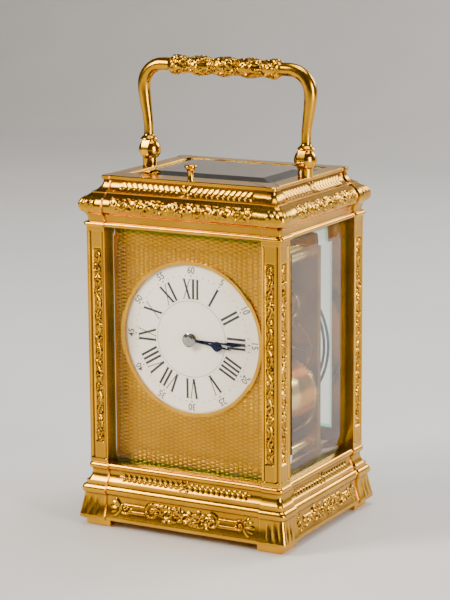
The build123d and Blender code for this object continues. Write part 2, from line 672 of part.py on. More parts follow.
def movement_plate(y0):
    """Plate with its pivot holes and screw holes."""
    plate = block((-PLATE_X, PLATE_X), (y0, y0 + PLATE), (BASE_TOP, PLATE_TOP))
    for centre in train_arbors:
        plate -= rod_y(centre, 0.45 + RUNNING, y0 - 1.0, y0 + PLATE + 1.0)
    for centre in PLATE_PILLARS:
        plate -= rod_y(centre, PLATE_SCREW_R + FIXED, y0 - 1.0, y0 + PLATE + 1.0)
    return plate


front_plate = movement_plate(FRONT_PLATE)
front_plate -= rod_y(centre_arbor, 0.7 + RUNNING, -REACH, REACH)
for centre in (going_arbor, strike_arbor):
    front_plate -= rod_y(centre, BARREL_PIVOT_R + EASY, -REACH, REACH)
front_plate += block(EAR_X, (FRONT_PLATE, FRONT_BACK), (PLATE_TOP, EAR_TOP))
front_plate -= rod_x(LEVER_PIVOT, LEVER_PIN_R + RUNNING, EAR_X[0] - 1.0, EAR_X[1] + 1.0)
front_plate += rod_y(minute_stud, STUD_R, -25.6, FRONT_PLATE)
save("front_plate", front_plate)

back_plate = movement_plate(BACK_PLATE)
back_plate -= rod_y(centre_arbor, CENTRE_R + EASY, -REACH, REACH)
for centre in (going_arbor, strike_arbor):
    back_plate -= rod_y(centre, ARBOR_R + EASY, -REACH, REACH)
for centre in click_pivots.values():
    back_plate -= rod_y(centre, CLICK_PIN_R + RUNNING, -REACH, REACH)
back_plate += rod_y(HAMMER_PIVOT, HAMMER_STUD_R, BACK_FACE, BACK_FACE + 5.2)
save("back_plate", back_plate)


def plate_pillar(centre):
    """Turned pillar between the plates, tapped at both ends."""
    pillar_rod = rod_y(centre, PLATE_PILLAR_R, FRONT_BACK, BACK_PLATE)
    pillar_rod -= rod_y(centre, PLATE_SCREW_R + FIXED, FRONT_BACK - 1.0, FRONT_BACK + 4.2)
    return pillar_rod - rod_y(centre, PLATE_SCREW_R + FIXED, BACK_PLATE - 4.2, BACK_PLATE + 1.0)


def plate_screw(centre, outwards, face):
    """Screw whose head stands on the outside of a plate."""
    head_r, head = PLATE_SCREW_HEAD
    tip = face - outwards * (PLATE + 4.0)
    top = face + outwards * head
    screw = rod_y(centre, head_r, *sorted((face, top)))
    screw += rod_y(centre, PLATE_SCREW_R, *sorted((face, tip)))
    return screw - Pos(centre[0], top, centre[1]) * Box(2.2 * head_r, 0.9, 0.5)


save("plate_pillars", Compound([plate_pillar(centre).solid() for centre in PLATE_PILLARS]))
screws = [plate_screw(centre, -1, FRONT_PLATE).solid() for centre in PLATE_PILLARS]
screws += [plate_screw(centre, 1, BACK_FACE).solid() for centre in PLATE_PILLARS]
save("plate_screws", Compound(screws))


# ---------------------------------------------------------------- barrels, arbors and clicks
DRUM_R, DRUM_WALL = 12.5, 1.0
DRUM_Y = (-13.0, 7.8)
GREAT_Y = (7.8, 9.4)
RATCHET_R, RATCHET_TEETH = 6.0, 20
RATCHET_Y = (BACK_FACE + 0.6, BACK_FACE + 1.8)
SQUARE = 2.6                            # winding square, across its flats
SQUARE_END = 27.0


def spring_barrel(centre, partner):
    """Hollow drum with the great wheel on its rear end."""
    drum = rod_y(centre, DRUM_R, *DRUM_Y)
    drum -= rod_y(centre, DRUM_R - DRUM_WALL, DRUM_Y[0] + DRUM_WALL, DRUM_Y[1] - DRUM_WALL)
    teeth, _, module = GREAT
    drum += along_y(teeth_face(centre, teeth, module, WHEEL_TOOTH, direction(centre, partner)), *GREAT_Y)
    return drum - rod_y(centre, ARBOR_R + EASY, -REACH, REACH)


def ratchet_face(centre):
    """Saw-toothed ratchet wheel."""
    points = []
    for index in range(RATCHET_TEETH):
        angle = 2 * pi * index / RATCHET_TEETH
        points += [polar(centre, RATCHET_R, angle), polar(centre, RATCHET_R - 0.9, angle + 0.02)]
    return polygon(points)


def barrel_arbor(centre):
    """Winding arbor with its ratchet and square."""
    shaft = rod_y(centre, BARREL_PIVOT_R, FRONT_PLATE, FRONT_BACK)
    shaft += rod_y(centre, ARBOR_R, FRONT_BACK + 0.2, BACK_FACE + 3.0)
    shaft += rod_y(centre, BARREL_PIVOT_R, FRONT_BACK, FRONT_BACK + 0.2)
    shaft += along_y(ratchet_face(centre), *RATCHET_Y)
    return shaft + along_y(Pos(*centre) * Rectangle(SQUARE, SQUARE), BACK_FACE + 3.0, SQUARE_END)


def click(pivot, arbor_centre):
    """Pawl on a pin in the back plate, its beak just clear of the ratchet's tips."""
    beak = polar(arbor_centre, RATCHET_R + 0.5, radians(50))
    line = direction(pivot, beak)
    tip = polar(beak, 0.35, radians(230))
    near_side, far_side = polar(pivot, CLICK_BOSS, line - pi / 2), polar(pivot, CLICK_BOSS, line + pi / 2)
    body = polygon([near_side, tip, polar(beak, 0.8, line + pi / 2), far_side]) + disc(pivot, CLICK_BOSS)
    return along_y(body, *RATCHET_Y) + rod_y(pivot, CLICK_PIN_R, BACK_PLATE + 0.4, RATCHET_Y[1] + 0.6)


save("going_barrel", spring_barrel(going_arbor, intermediate_arbor))
save("strike_barrel", spring_barrel(strike_arbor, second_arbor))
save("going_barrel_arbor", barrel_arbor(going_arbor))
save("strike_barrel_arbor", barrel_arbor(strike_arbor))
save("going_click", click(click_pivots["left"], going_arbor))
save("strike_click", click(click_pivots["right"], strike_arbor))


# ---------------------------------------------------------------- going train
WHEEL_T = 1.0


def train_piece(centre, mesh, wheel_y, next_arbor, pinion, pinion_y, last_arbor, hub=2.2):
    """Arbor with a wheel that drives the next arbor and a pinion driven by the last one."""
    teeth, _, module = mesh
    piece = arbor(centre)
    piece += along_y(
        wheel_face(centre, teeth, module, direction(centre, next_arbor), hub), wheel_y, wheel_y + WHEEL_T
    )
    leaves, leaf_module = pinion
    return piece + along_y(pinion_face(centre, leaves, leaf_module, last_arbor), *pinion_y)


save("intermediate_wheel", train_piece(
    intermediate_arbor, INTERMEDIATE, 11.2, centre_arbor, GREAT[1:], (7.2, 9.9), going_arbor))
save("third_wheel", train_piece(
    third_arbor, THIRD, -12.2, CONTRATE, CENTRE[1:], (-17.0, -14.8), centre_arbor))

centre_teeth, _, centre_module = CENTRE
centre_piece = rod_y(centre_arbor, 1.0, FRONT_BACK + 0.3, BACK_PLATE - 0.3)
centre_piece += rod_y(centre_arbor, 0.7, FRONT_PLATE - 0.4, FRONT_BACK + 0.3)
centre_piece += rod_y(centre_arbor, CENTRE_TIP_R, -29.7, FRONT_PLATE - 0.4)
centre_piece += rod_y(centre_arbor, CENTRE_R, BACK_PLATE - 0.3, BACK_FACE + 3.0)
centre_piece += along_y(Pos(*centre_arbor) * Rectangle(1.6, 1.6), BACK_FACE + 3.0, SQUARE_END)
centre_wheel = wheel_face(
    centre_arbor, centre_teeth, centre_module, direction(centre_arbor, third_arbor), 2.4
)
centre_piece += along_y(centre_wheel, -16.4, -15.4)
centre_pinion = pinion_face(centre_arbor, INTERMEDIATE[1], INTERMEDIATE[2], intermediate_arbor)
save("centre_wheel", centre_piece + along_y(centre_pinion, 10.4, 13.0))

CROWN_Y = (-6.0, -5.0, -3.5)            # disc front, disc back and tooth roots of the contrate wheel
CROWN_TOOTH = 0.5                       # height of its teeth, along the arbor
CROWN_WIDTH = 1.0                       # width of its teeth, outwards
crown_inner = CONTRATE_R - CROWN_WIDTH / 2
crown_outer = CONTRATE_R + CROWN_WIDTH / 2
contrate = arbor(CONTRATE)
contrate_disc = disc(CONTRATE, crown_outer) - (disc(CONTRATE, crown_inner) - disc(CONTRATE, 2.0))
for spoke in range(4):
    contrate_disc += bar(CONTRATE, polar(CONTRATE, crown_inner + 0.2, spoke * pi / 2 + pi / 4), SPOKE)
contrate += along_y(contrate_disc, CROWN_Y[0], CROWN_Y[1])
contrate += along_y(disc(CONTRATE, crown_outer) - disc(CONTRATE, crown_inner), CROWN_Y[1], CROWN_Y[2])
crown_teeth = Sketch()
CROWN_SHARE = 0.27
crown_half = CROWN_SHARE * pi / CONTRATE_TEETH
for tooth in range(CONTRATE_TEETH):
    middle = pi / 2 + 2 * pi * tooth / CONTRATE_TEETH
    corners = [polar(CONTRATE, reach, middle + side * crown_half)
               for reach, side in ((crown_inner, -1), (crown_outer, -1), (crown_outer, 1), (crown_inner, 1))]
    crown_teeth += polygon(corners)
contrate += along_y(crown_teeth, CROWN_Y[2], CROWN_Y[2] + CROWN_TOOTH)
contrate += along_y(pinion_face(CONTRATE, THIRD[1], THIRD[2], third_arbor), -12.8, -10.6)
save("contrate_wheel", contrate)


# ---------------------------------------------------------------- platform escapement
PLATFORM_X = (-17.0, 15.0)
ESCAPE_R = 4.0
ESCAPE_Z = (113.0, 113.5)
ESCAPE_PIVOT_R, ESCAPE_ARBOR_R = 0.2, 0.35
LEAF_R = (0.62, 1.15)                   # root and tip of the escape pinion
LEAF_Z = (107.5, 109.4)
POTENCE = (105.4, 106.4)                # bracket under the platform for the lower escape pivot
BRIDGE_Z = (115.0, 116.2)
COCK_Z = (119.3, 120.5)
BALANCE_R = 7.5
BALANCE_Z = (117.1, 117.9)
pallet_centre = (PALLET_X, ESCAPE_Y)
balance_centre = (BALANCE_X, ESCAPE_Y)
escape_centre = (CONTRATE[0], ESCAPE_Y)

platform = block(PLATFORM_X, (FRONT_PLATE, BACK_FACE), (PLATE_TOP, PLATFORM_TOP))
platform -= block((EAR_X[0] - 0.2, EAR_X[1] + 0.2), (-REACH, FRONT_BACK + 0.2), (0, REACH))
platform -= rod_z(escape_centre, 1.6, 0, REACH)
for centre in (pallet_centre, balance_centre):
    platform -= rod_z(centre, ESCAPE_PIVOT_R + RUNNING, PLATE_TOP - 1.0, REACH)
bracket_y = (ESCAPE_Y + 1.9, ESCAPE_Y + 4.0)
platform += block((escape_centre[0] - 1.5, escape_centre[0] + 1.5), bracket_y, (POTENCE[0], PLATE_TOP))
platform += block((escape_centre[0] - 1.5, escape_centre[0] + 1.5), (ESCAPE_Y - 0.4, bracket_y[1]), POTENCE)
platform -= rod_z(escape_centre, ESCAPE_PIVOT_R + RUNNING, POTENCE[0] - 1.0, POTENCE[1] + 1.0)
save("platform_plate", platform)

escape_points = []
for tooth in range(15):
    angle = 2 * pi * tooth / 15
    escape_points += [
        polar(escape_centre, ESCAPE_R - 1.3, angle - 0.16), polar(escape_centre, ESCAPE_R, angle)
    ]
    escape_points += [
        polar(escape_centre, ESCAPE_R, angle + 0.05), polar(escape_centre, ESCAPE_R - 1.3, angle + 0.12)
    ]
escape = along_z(polygon(escape_points), *ESCAPE_Z)
escape += rod_z(escape_centre, ESCAPE_ARBOR_R, POTENCE[1] + 0.3, BRIDGE_Z[0] - 0.2)
escape += rod_z(escape_centre, ESCAPE_PIVOT_R, POTENCE[0] + 0.2, BRIDGE_Z[1])
leaf_points = []
LEAF_HALF = 0.27 * pi / ESCAPE_LEAVES
for leaf in range(ESCAPE_LEAVES):
    middle = -pi / 2 + pi / ESCAPE_LEAVES + 2 * pi * leaf / ESCAPE_LEAVES
    for reach, side in ((LEAF_R[0], -1.2), (LEAF_R[1], -0.75), (LEAF_R[1], 0.75), (LEAF_R[0], 1.2)):
        leaf_points.append(polar(escape_centre, reach, middle + side * LEAF_HALF))
save("escape_wheel", escape + along_z(polygon(leaf_points), *LEAF_Z))

PALLET_SPREAD = 3.5
pallet = bar(pallet_centre, (PALLET_X - 5.4, ESCAPE_Y), 0.8)
for side in (-1, 1):
    elbow = (PALLET_X + 1.2, ESCAPE_Y + side * PALLET_SPREAD)
    pallet += bar(pallet_centre, elbow, 0.7) + bar(elbow, (PALLET_X + 2.4, elbow[1] + side * 0.3), 0.5)
    pallet += bar((PALLET_X - 5.4, ESCAPE_Y), (PALLET_X - 5.8, ESCAPE_Y + side * 0.7), 0.4)
pallet_lever = along_z(pallet, *ESCAPE_Z) + rod_z(
    pallet_centre, ESCAPE_ARBOR_R, PLATFORM_TOP + 0.3, BRIDGE_Z[0] - 0.2
)
save("pallet_lever", pallet_lever + rod_z(pallet_centre, ESCAPE_PIVOT_R, PLATE_TOP + 0.2, BRIDGE_Z[1]))

BRIDGE_FOOT_X = 10.8
bridge = block((PALLET_X - 1.6, 13.2), (ESCAPE_Y - 1.8, ESCAPE_Y + 1.8), BRIDGE_Z)
bridge += block((BRIDGE_FOOT_X, 13.2), (ESCAPE_Y - 1.8, ESCAPE_Y + 1.8), (PLATFORM_TOP, BRIDGE_Z[1]))
for centre in (escape_centre, pallet_centre):
    bridge -= rod_z(centre, ESCAPE_PIVOT_R + RUNNING, 0, REACH)
save("pallet_bridge", bridge)

balance = disc(balance_centre, BALANCE_R) - disc(balance_centre, BALANCE_R - 1.0)
balance += bar((BALANCE_X - BALANCE_R + 0.5, ESCAPE_Y), (BALANCE_X + BALANCE_R - 0.5, ESCAPE_Y), 1.0)
balance += disc(balance_centre, 1.3)
balance_wheel = along_z(balance, *BALANCE_Z)
SCREW_RING = 12
for index in range(SCREW_RING):
    angle = 360 * (index + 0.5) / SCREW_RING
    stud = Rot(0, 90, 0) * Cylinder(0.3, 0.9)
    balance_wheel += (
        Pos(BALANCE_X, ESCAPE_Y, sum(BALANCE_Z) / 2) * Rot(0, 0, angle) * Pos(BALANCE_R + 0.35, 0, 0) * stud
    )
balance_wheel += rod_z(balance_centre, 0.4, PLATFORM_TOP + 0.3, COCK_Z[0] - 0.2)
balance_wheel += rod_z(balance_centre, ESCAPE_PIVOT_R, PLATE_TOP + 0.2, COCK_Z[1])
balance_wheel += rod_z(balance_centre, 1.3, 113.9, 114.4)
balance_wheel += rod_z((BALANCE_X + 1.0, ESCAPE_Y), 0.2, 113.0, 113.9)
save("balance_wheel", balance_wheel)

SPRING_Z = (118.4, 118.8)
SPRING_STEP = 0.3                       # radius gained in each half turn
SPRING_START = 0.9
SPRING_HALF_TURNS = 9
spring_edges = []
spring_x = BALANCE_X - SPRING_START
spring_side = 1
for half_turn in range(SPRING_HALF_TURNS):
    reach = SPRING_START + half_turn * SPRING_STEP
    end_x = spring_x + spring_side * 2 * reach
    top = ((spring_x + end_x) / 2, ESCAPE_Y + spring_side * reach)
    spring_edges.append(ThreePointArc((spring_x, ESCAPE_Y), top, (end_x, ESCAPE_Y)))
    spring_x = end_x
    spring_side = -spring_side
spring_face = trace(Wire(spring_edges), line_width=0.16)
collet = disc(balance_centre, SPRING_START + 0.05) - disc(balance_centre, 0.4 + FIXED)
save("hairspring", along_z(spring_face + collet, *SPRING_Z))

COCK_FOOT_Y = (ESCAPE_Y + 10.0, ESCAPE_Y + 14.0)
cock = block(
    (BALANCE_X - 2.0, BALANCE_X + 2.0), (ESCAPE_Y, COCK_FOOT_Y[1]), COCK_Z
) + rod_z(balance_centre, 2.0, *COCK_Z)
cock += block((BALANCE_X - 4.0, BALANCE_X + 4.0), COCK_FOOT_Y, (PLATFORM_TOP, COCK_Z[1]))
cock += rod_z(balance_centre, 1.0, COCK_Z[1], COCK_Z[1] + 0.8)
save("balance_cock", cock - rod_z(balance_centre, ESCAPE_PIVOT_R + RUNNING, COCK_Z[0] - 1.0, COCK_Z[1] + 0.2))

INDEX_Z = (COCK_Z[1] + 0.1, COCK_Z[1] + 0.6)
index = disc(balance_centre, 1.9) + bar(balance_centre, (BALANCE_X, ESCAPE_Y - 6.5), 0.7)
save("regulator_index", along_z(index - disc(balance_centre, 1.0 + RUNNING), *INDEX_Z))


# ---------------------------------------------------------------- striking train, hammer and gong
save("strike_second_wheel", train_piece(
    second_arbor, STRIKE_SECOND, 10.9, pin_arbor, GREAT[1:], (7.2, 9.9), strike_arbor))

pin_wheel = train_piece(
    pin_arbor, PIN_WHEEL, 7.0, warning_arbor, STRIKE_SECOND[1:], (10.3, 12.6), second_arbor
)
PINS = 8
for pin_index in range(PINS):
    pin_wheel += rod_y(polar(pin_arbor, 6.35, 2 * pi * (pin_index + 0.5) / PINS), 0.3, 7.6, 9.4)
save("strike_pin_wheel", pin_wheel)
save("warning_wheel", train_piece(
    warning_arbor, WARNING, 2.0, fly_arbor, PIN_WHEEL[1:], (6.2, 8.8), pin_arbor, hub=1.8))

FLY_BLADE = ((-4.4, 4.4), (-17.0, -7.5), 0.4)
fly = arbor(fly_arbor, radius=0.6) + along_y(
    pinion_face(fly_arbor, WARNING[1], WARNING[2], warning_arbor), 1.2, 3.8
)
blade_x = (fly_arbor[0] + FLY_BLADE[0][0], fly_arbor[0] + FLY_BLADE[0][1])
fly += block(blade_x, FLY_BLADE[1], (fly_arbor[1] - FLY_BLADE[2] / 2, fly_arbor[1] + FLY_BLADE[2] / 2))
save("fly", fly)

GONG_CENTRE = (0.0, 66.0)
GONG_Y = 23.0
GONG_R, GONG_STEP = 29.0, 0.9           # first half turn, and radius gained in each half turn
GONG_WIRE = 0.55
GONG_HALF_TURNS = 4
gong_edges = []
gong_z = GONG_CENTRE[1] - GONG_R
gong_side = 1
for half_turn in range(GONG_HALF_TURNS):
    reach = GONG_R + half_turn * GONG_STEP
    end_z = gong_z + gong_side * 2 * reach
    middle = (gong_side * reach, GONG_Y, (gong_z + end_z) / 2)
    gong_edges.append(ThreePointArc((0, GONG_Y, gong_z), middle, (0, GONG_Y, end_z)))
    gong_z = end_z
    gong_side = -gong_side
gong_path = Wire(gong_edges)
gong_section = Plane(origin=gong_path @ 0, z_dir=gong_path % 0) * Circle(GONG_WIRE)
save("gong", sweep(gong_section, path=gong_path))
gong_bore = sweep(
    Plane(origin=gong_path @ 1, z_dir=gong_path % 1) * Circle(GONG_WIRE + FIXED), path=gong_edges[-1]
)
gong_block = block((-3.5, 0.0), (BACK_FACE, GONG_Y + 1.8), (gong_z - 3.4, gong_z + 1.0))
save("gong_block", gong_block - gong_bore)

HAMMER_GAP = 0.4
HEAD_HALF, HEAD_R = 2.5, 1.9
hammer_turn = radians(35)
head_centre = polar(GONG_CENTRE, GONG_R - GONG_WIRE - HAMMER_GAP - HEAD_HALF, hammer_turn)
hammer_y = (BACK_FACE + 2.4, BACK_FACE + 4.0)
hammer = along_y(bar(HAMMER_PIVOT, head_centre, 1.6) + disc(HAMMER_PIVOT, 2.3), *hammer_y)
hammer += rod_y(head_centre, 0.8, hammer_y[0], GONG_Y)
head_plane = Plane(
    origin=(head_centre[0], GONG_Y, head_centre[1]), z_dir=(cos(hammer_turn), 0, sin(hammer_turn))
)
hammer += head_plane * Cylinder(HEAD_R, 2 * HEAD_HALF)
save("hammer", hammer - rod_y(HAMMER_PIVOT, HAMMER_STUD_R + RUNNING, -REACH, REACH))
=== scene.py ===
import math
import random
import bmesh
import bpy
import numpy as np
from mathutils import Matrix, Vector

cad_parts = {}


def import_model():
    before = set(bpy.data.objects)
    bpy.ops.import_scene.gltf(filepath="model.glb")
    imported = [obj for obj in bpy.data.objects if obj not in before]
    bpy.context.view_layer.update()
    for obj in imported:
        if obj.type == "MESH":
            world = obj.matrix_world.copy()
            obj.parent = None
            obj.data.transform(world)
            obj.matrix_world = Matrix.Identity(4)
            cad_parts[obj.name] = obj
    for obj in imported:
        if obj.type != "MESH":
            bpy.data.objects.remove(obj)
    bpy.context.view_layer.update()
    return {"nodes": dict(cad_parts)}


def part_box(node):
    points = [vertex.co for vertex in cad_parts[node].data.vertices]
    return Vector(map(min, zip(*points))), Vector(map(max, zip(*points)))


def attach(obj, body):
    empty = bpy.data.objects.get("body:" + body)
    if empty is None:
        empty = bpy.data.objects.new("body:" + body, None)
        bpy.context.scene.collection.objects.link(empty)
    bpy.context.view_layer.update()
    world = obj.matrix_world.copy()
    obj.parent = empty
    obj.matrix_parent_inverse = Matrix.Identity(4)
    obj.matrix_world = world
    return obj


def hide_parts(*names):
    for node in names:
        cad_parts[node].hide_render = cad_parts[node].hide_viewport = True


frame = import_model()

MM = 0.001
CELL = 0.3                       # mesh cell of the engraved pieces, in millimetres

# ------------------------ sizes, in millimetres


def node_box(node):
    low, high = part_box(node)
    return np.array(low) / MM, np.array(high) / MM


PILLAR_LOW, PILLAR_HIGH = node_box("pillar_front_right")
HALF_X = PILLAR_HIGH[0]
HALF_Y = -PILLAR_LOW[1]
BLOCK_X = PILLAR_LOW[0]          # corner blocks start here, measured from the middle
BLOCK_Y = -PILLAR_HIGH[1]
BASE_LOW, BASE_HIGH = node_box("base_frame")
TOP_LOW, TOP_HIGH = node_box("top_frame")
BASE_TOP = 25.0
CORNICE_BOTTOM = 117.1
BREAK = 0.8                      # straight mouldings stand this far behind the corner blocks
ARC_CELLS = 8                    # least number of cells on a moulded arc
BREAK_RUN = 0.3                  # length of the slope between the two
CORNER_R = 1.8                   # rounding of the moulded corners
DIAL_LOW, DIAL_HIGH = node_box("dial")
DIAL_Z = (DIAL_LOW[2] + DIAL_HIGH[2]) / 2
DIAL_FACE = DIAL_LOW[1]
MASK_LOW, MASK_HIGH = node_box("dial_mask")

# ------------------------ materials


class Nodes:
    """Short way to write a node material."""

    def __init__(self, name):
        self.material = bpy.data.materials.new(name)
        self.material.use_nodes = True
        self.tree = self.material.node_tree
        self.tree.nodes.clear()
        self.out = self.tree.nodes.new("ShaderNodeOutputMaterial")

    def add(self, kind, inputs=(), **settings):
        node = self.tree.nodes.new("ShaderNode" + kind)
        for key, value in settings.items():
            setattr(node, key, value)
        for key, value in dict(inputs).items():
            if isinstance(value, bpy.types.NodeSocket):
                self.tree.links.new(value, node.inputs[key])
            else:
                node.inputs[key].default_value = value
        return node

    def noise(self, scale, detail=3.0, stretch=(1, 1, 1)):
        where = self.add("TexCoord").outputs["Object"]
        where = self.add("Mapping", {"Vector": where, "Scale": stretch}).outputs[0]
        return self.add("TexNoise", {"Vector": where, "Scale": scale, "Detail": detail}).outputs["Fac"]

    def ramp(self, value, *stops):
        node = self.add("ValToRGB", {"Fac": value})
        elements = node.color_ramp.elements
        for element, (place, colour) in zip(elements, stops[:2]):
            element.position, element.color = place, (*colour, 1)
        for place, colour in stops[2:]:
            elements.new(place).color = (*colour, 1)
        return node.outputs["Color"]

    def span(self, value, low, high):
        return self.add("MapRange", {"Value": value, "To Min": low, "To Max": high}).outputs[0]

    def bump(self, height, strength, distance):
        return self.add("Bump", {"Height": height, "Strength": strength, "Distance": distance}).outputs[0]

    def surface(self, shader):
        self.tree.links.new(shader, self.out.inputs["Surface"])
        return self.material


CREASE_SHADE_FULL = 0.44               # pointiness at which the painted crease shade covers the metal
CREASE_SHADE_NONE = 0.53               # pointiness at which there is none
GRAIN_RELIEF = 0.00002           # metres
PAINT_RELIEF = 0.00003


def metal(name, dark, light, rough, grain=2600.0, bump=0.08, stretch=(1, 1, 1), hollow=None):
    """Metal with slow colour drift, fine grain and, where hollow is given, painted shade that darkens the
    creases.
    """
    n = Nodes(name)
    drift = n.noise(85.0, 4.0)
    colour = n.ramp(drift, (0.3, dark), (0.7, light))
    # Painted shade: where pointiness is low, in creases and hollows, the colour is mixed towards the dark
    # hollow colour.
    if hollow:
        crease = n.add("NewGeometry").outputs["Pointiness"]
        keep = n.add("MapRange", {"Value": crease, "From Min": CREASE_SHADE_FULL,
                                  "From Max": CREASE_SHADE_NONE}).outputs[0]
        shade = n.add("Mix", {"Factor": keep}, data_type="RGBA")
        crease_shade_socket, open_socket = [s for s in shade.inputs if s.type == "RGBA"]
        crease_shade_socket.default_value = (*hollow, 1)
        n.tree.links.new(colour, open_socket)
        colour = next(s for s in shade.outputs if s.type == "RGBA")
    fine = n.noise(grain, 2.0, stretch)
    roughness = n.span(fine, rough[0], rough[1])
    normal = n.bump(fine, bump, GRAIN_RELIEF)
    shader = n.add("BsdfPrincipled", {"Base Color": colour, "Metallic": 1.0, "Roughness": roughness,
                                      "Normal": normal})
    return n.surface(shader.outputs[0])


RIM = 3.4                        # width of the green band at a pane's edge
RIM_FADE = 0.9
GLASS_IOR = 1.52
GLASS_BODY = (0.95, 0.97, 0.95)
GLASS_EDGE = (0.34, 0.66, 0.52)
GLASS_REFLECTION = (0.12, 0.125, 0.12, 1)


def glass(node):
    """Clear glass, greener at its edges, that lets the lamps through to the movement behind it."""
    n = Nodes("bevelled_" + node)
    low, high = node_box(node)
    thin_axis = int(np.argmin(high - low))
    place = n.add("SeparateXYZ", {"Vector": n.add("TexCoord").outputs["Object"]})
    rim = None
    for axis in range(3):
        if axis == thin_axis:
            continue
        half = (high[axis] - low[axis]) / 2 * MM
        middle = (high[axis] + low[axis]) / 2 * MM
        off = n.add("Math", {0: place.outputs[axis], 1: middle}, operation="SUBTRACT").outputs[0]
        away = n.add("Math", {0: off}, operation="ABSOLUTE").outputs[0]
        band = n.add("MapRange", {"Value": away, "From Min": half - RIM * MM,
                                  "From Max": half - (RIM - RIM_FADE) * MM}).outputs[0]
        rim = band if rim is None else n.add("Math", {0: rim, 1: band}, operation="MAXIMUM").outputs[0]
    tint = n.ramp(rim, (0.0, GLASS_BODY), (1.0, GLASS_EDGE))
    smear = n.span(n.noise(120.0), 0.0, 0.012)
    clear = n.add("BsdfPrincipled", {"Base Color": tint, "Roughness": smear, "IOR": GLASS_IOR,
                                     "Transmission Weight": 1.0, "Specular Tint": GLASS_REFLECTION})
    through = n.add("BsdfTransparent", {"Color": tint})
    shadow = n.add("LightPath").outputs["Is Shadow Ray"]
    both = n.add("MixShader", {0: shadow, 1: clear.outputs[0], 2: through.outputs[0]})
    return n.surface(both.outputs[0])


def painted(name, dark, light, rough, coat=0.0, bump=0.03):
    """Fired enamel or paint: small drift in colour, faint unevenness under a gloss."""
    n = Nodes(name)
    colour = n.ramp(n.noise(60.0), (0.3, dark), (0.7, light))
    ripple = n.noise(420.0, 2.0)
    shader = n.add("BsdfPrincipled", {"Base Color": colour, "Roughness": n.span(ripple, *rough),
                                      "Coat Weight": coat, "Normal": n.bump(ripple, bump, PAINT_RELIEF)})
    return n.surface(shader.outputs[0])


GILT = metal("gilt_polished", (0.62, 0.30, 0.012), (0.80, 0.42, 0.024), (0.10, 0.20))
# The hollow colours of these two gilts are painted shade in the engraving's creases and in the weave's
# grooves.
GILT_CUT = metal("gilt_engraved", (0.60, 0.29, 0.011), (0.79, 0.415, 0.024), (0.13, 0.28),
                 hollow=(0.17, 0.075, 0.006))
GILT_MATT = metal("gilt_engine_turned", (0.62, 0.295, 0.008), (0.74, 0.375, 0.014), (0.24, 0.34), bump=0.1,
                  hollow=(0.30, 0.115, 0.002))
BRASS = metal("movement_brass", (0.34, 0.19, 0.04), (0.46, 0.27, 0.065), (0.26, 0.42), 900.0, 0.12,
              (1, 1, 14))
WHEEL_BRASS = metal("wheel_brass", (0.78, 0.50, 0.11), (0.90, 0.62, 0.17), (0.12, 0.24), 900.0, 0.08)
BLUED = metal("blued_steel", (0.006, 0.007, 0.018), (0.012, 0.018, 0.06), (0.12, 0.26))
STEEL = metal("polished_steel", (0.36, 0.35, 0.34), (0.52, 0.50, 0.48), (0.10, 0.24))
ENAMEL = painted("white_enamel", (0.90, 0.80, 0.73), (0.94, 0.85, 0.78), (0.10, 0.2), 0.5)
INK = painted("fired_black", (0.012, 0.011, 0.013), (0.022, 0.02, 0.022), (0.25, 0.4))

SLOT_LOOK = {"gilt_brass": GILT, "engine_turned_gilt": GILT_MATT, "enamel": ENAMEL,
             "blued_steel": BLUED, "polished_steel": STEEL, "movement_brass": BRASS}
STILL_BRASS = ("front_plate", "back_plate", "platform_plate", "gong_block")


def dress_cad_nodes():
    """Gives every CAD node the look of the slot that it was packed with."""
    for node, obj in frame["nodes"].items():
        for place in obj.material_slots:
            if node.endswith("_glass"):
                place.material = glass(node)
                continue
            for slot_name, look in SLOT_LOOK.items():
                if place.material and place.material.name.startswith(slot_name):
                    turning = look is BRASS and node not in STILL_BRASS
                    place.material = WHEEL_BRASS if turning else look
                    break
            else:
                place.material = BRASS


dress_cad_nodes()

# ------------------------ meshes


WELD = 0.002                     # points nearer than this become one


def finish_piece(work, mesh, look, body, stands_for, smooth):
    """Shades a built mesh, ties it to its body and hides the nodes that it stands for."""
    work.to_mesh(mesh)
    work.free()
    mesh.shade_smooth()
    mesh.set_sharp_from_angle(angle=math.radians(smooth))
    mesh.materials.append(look)
    obj = bpy.data.objects.new(mesh.name, mesh)
    bpy.context.scene.collection.objects.link(obj)
    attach(obj, body)
    if stands_for:
        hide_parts(*stands_for)


def make(name, points, faces, look, body, slot_name, stands_for=(), smooth=35.0, merge=True):
    """Piece from points in millimetres. Faces are index tuples or an array."""
    mesh = bpy.data.meshes.new(name)
    faces = faces.tolist() if isinstance(faces, np.ndarray) else faces
    mesh.from_pydata((np.asarray(points, float) * MM).tolist(), [], faces)
    work = bmesh.new()
    work.from_mesh(mesh)
    if merge:
        bmesh.ops.remove_doubles(work, verts=work.verts, dist=WELD * MM)
    bmesh.ops.recalc_face_normals(work, faces=work.faces)
    finish_piece(work, mesh, look, body, stands_for, smooth)


def grid_faces(rows, columns, wrap_rows=False, wrap_columns=False, start=0):
    """Quads of a grid numbered row by row."""
    r = np.arange(rows if wrap_rows else rows - 1)[:, None]
    c = np.arange(columns if wrap_columns else columns - 1)[None, :]
    r2, c2 = (r + 1) % rows, (c + 1) % columns
    quads = np.stack([r * columns + c, r * columns + c2, r2 * columns + c2, r2 * columns + c], -1)
    return quads.reshape(-1, 4) + start


def turn_steps(count):
    """Angles of one whole turn, in equal steps."""
    return [2 * math.pi * k / count for k in range(count)]


def join(*shapes):
    """One shape from several (points, faces)."""
    points, faces = [], []
    for more_points, more_faces in shapes:
        start = len(points)
        points += [tuple(p) for p in more_points]
        faces += [tuple(int(i) + start for i in f) for f in more_faces]
    return points, faces


# ------------------------ ornament, as heights over a flat strip


def smooth(x):
    x = np.clip(x, 0, 1)
    return x * x * (3 - 2 * x)


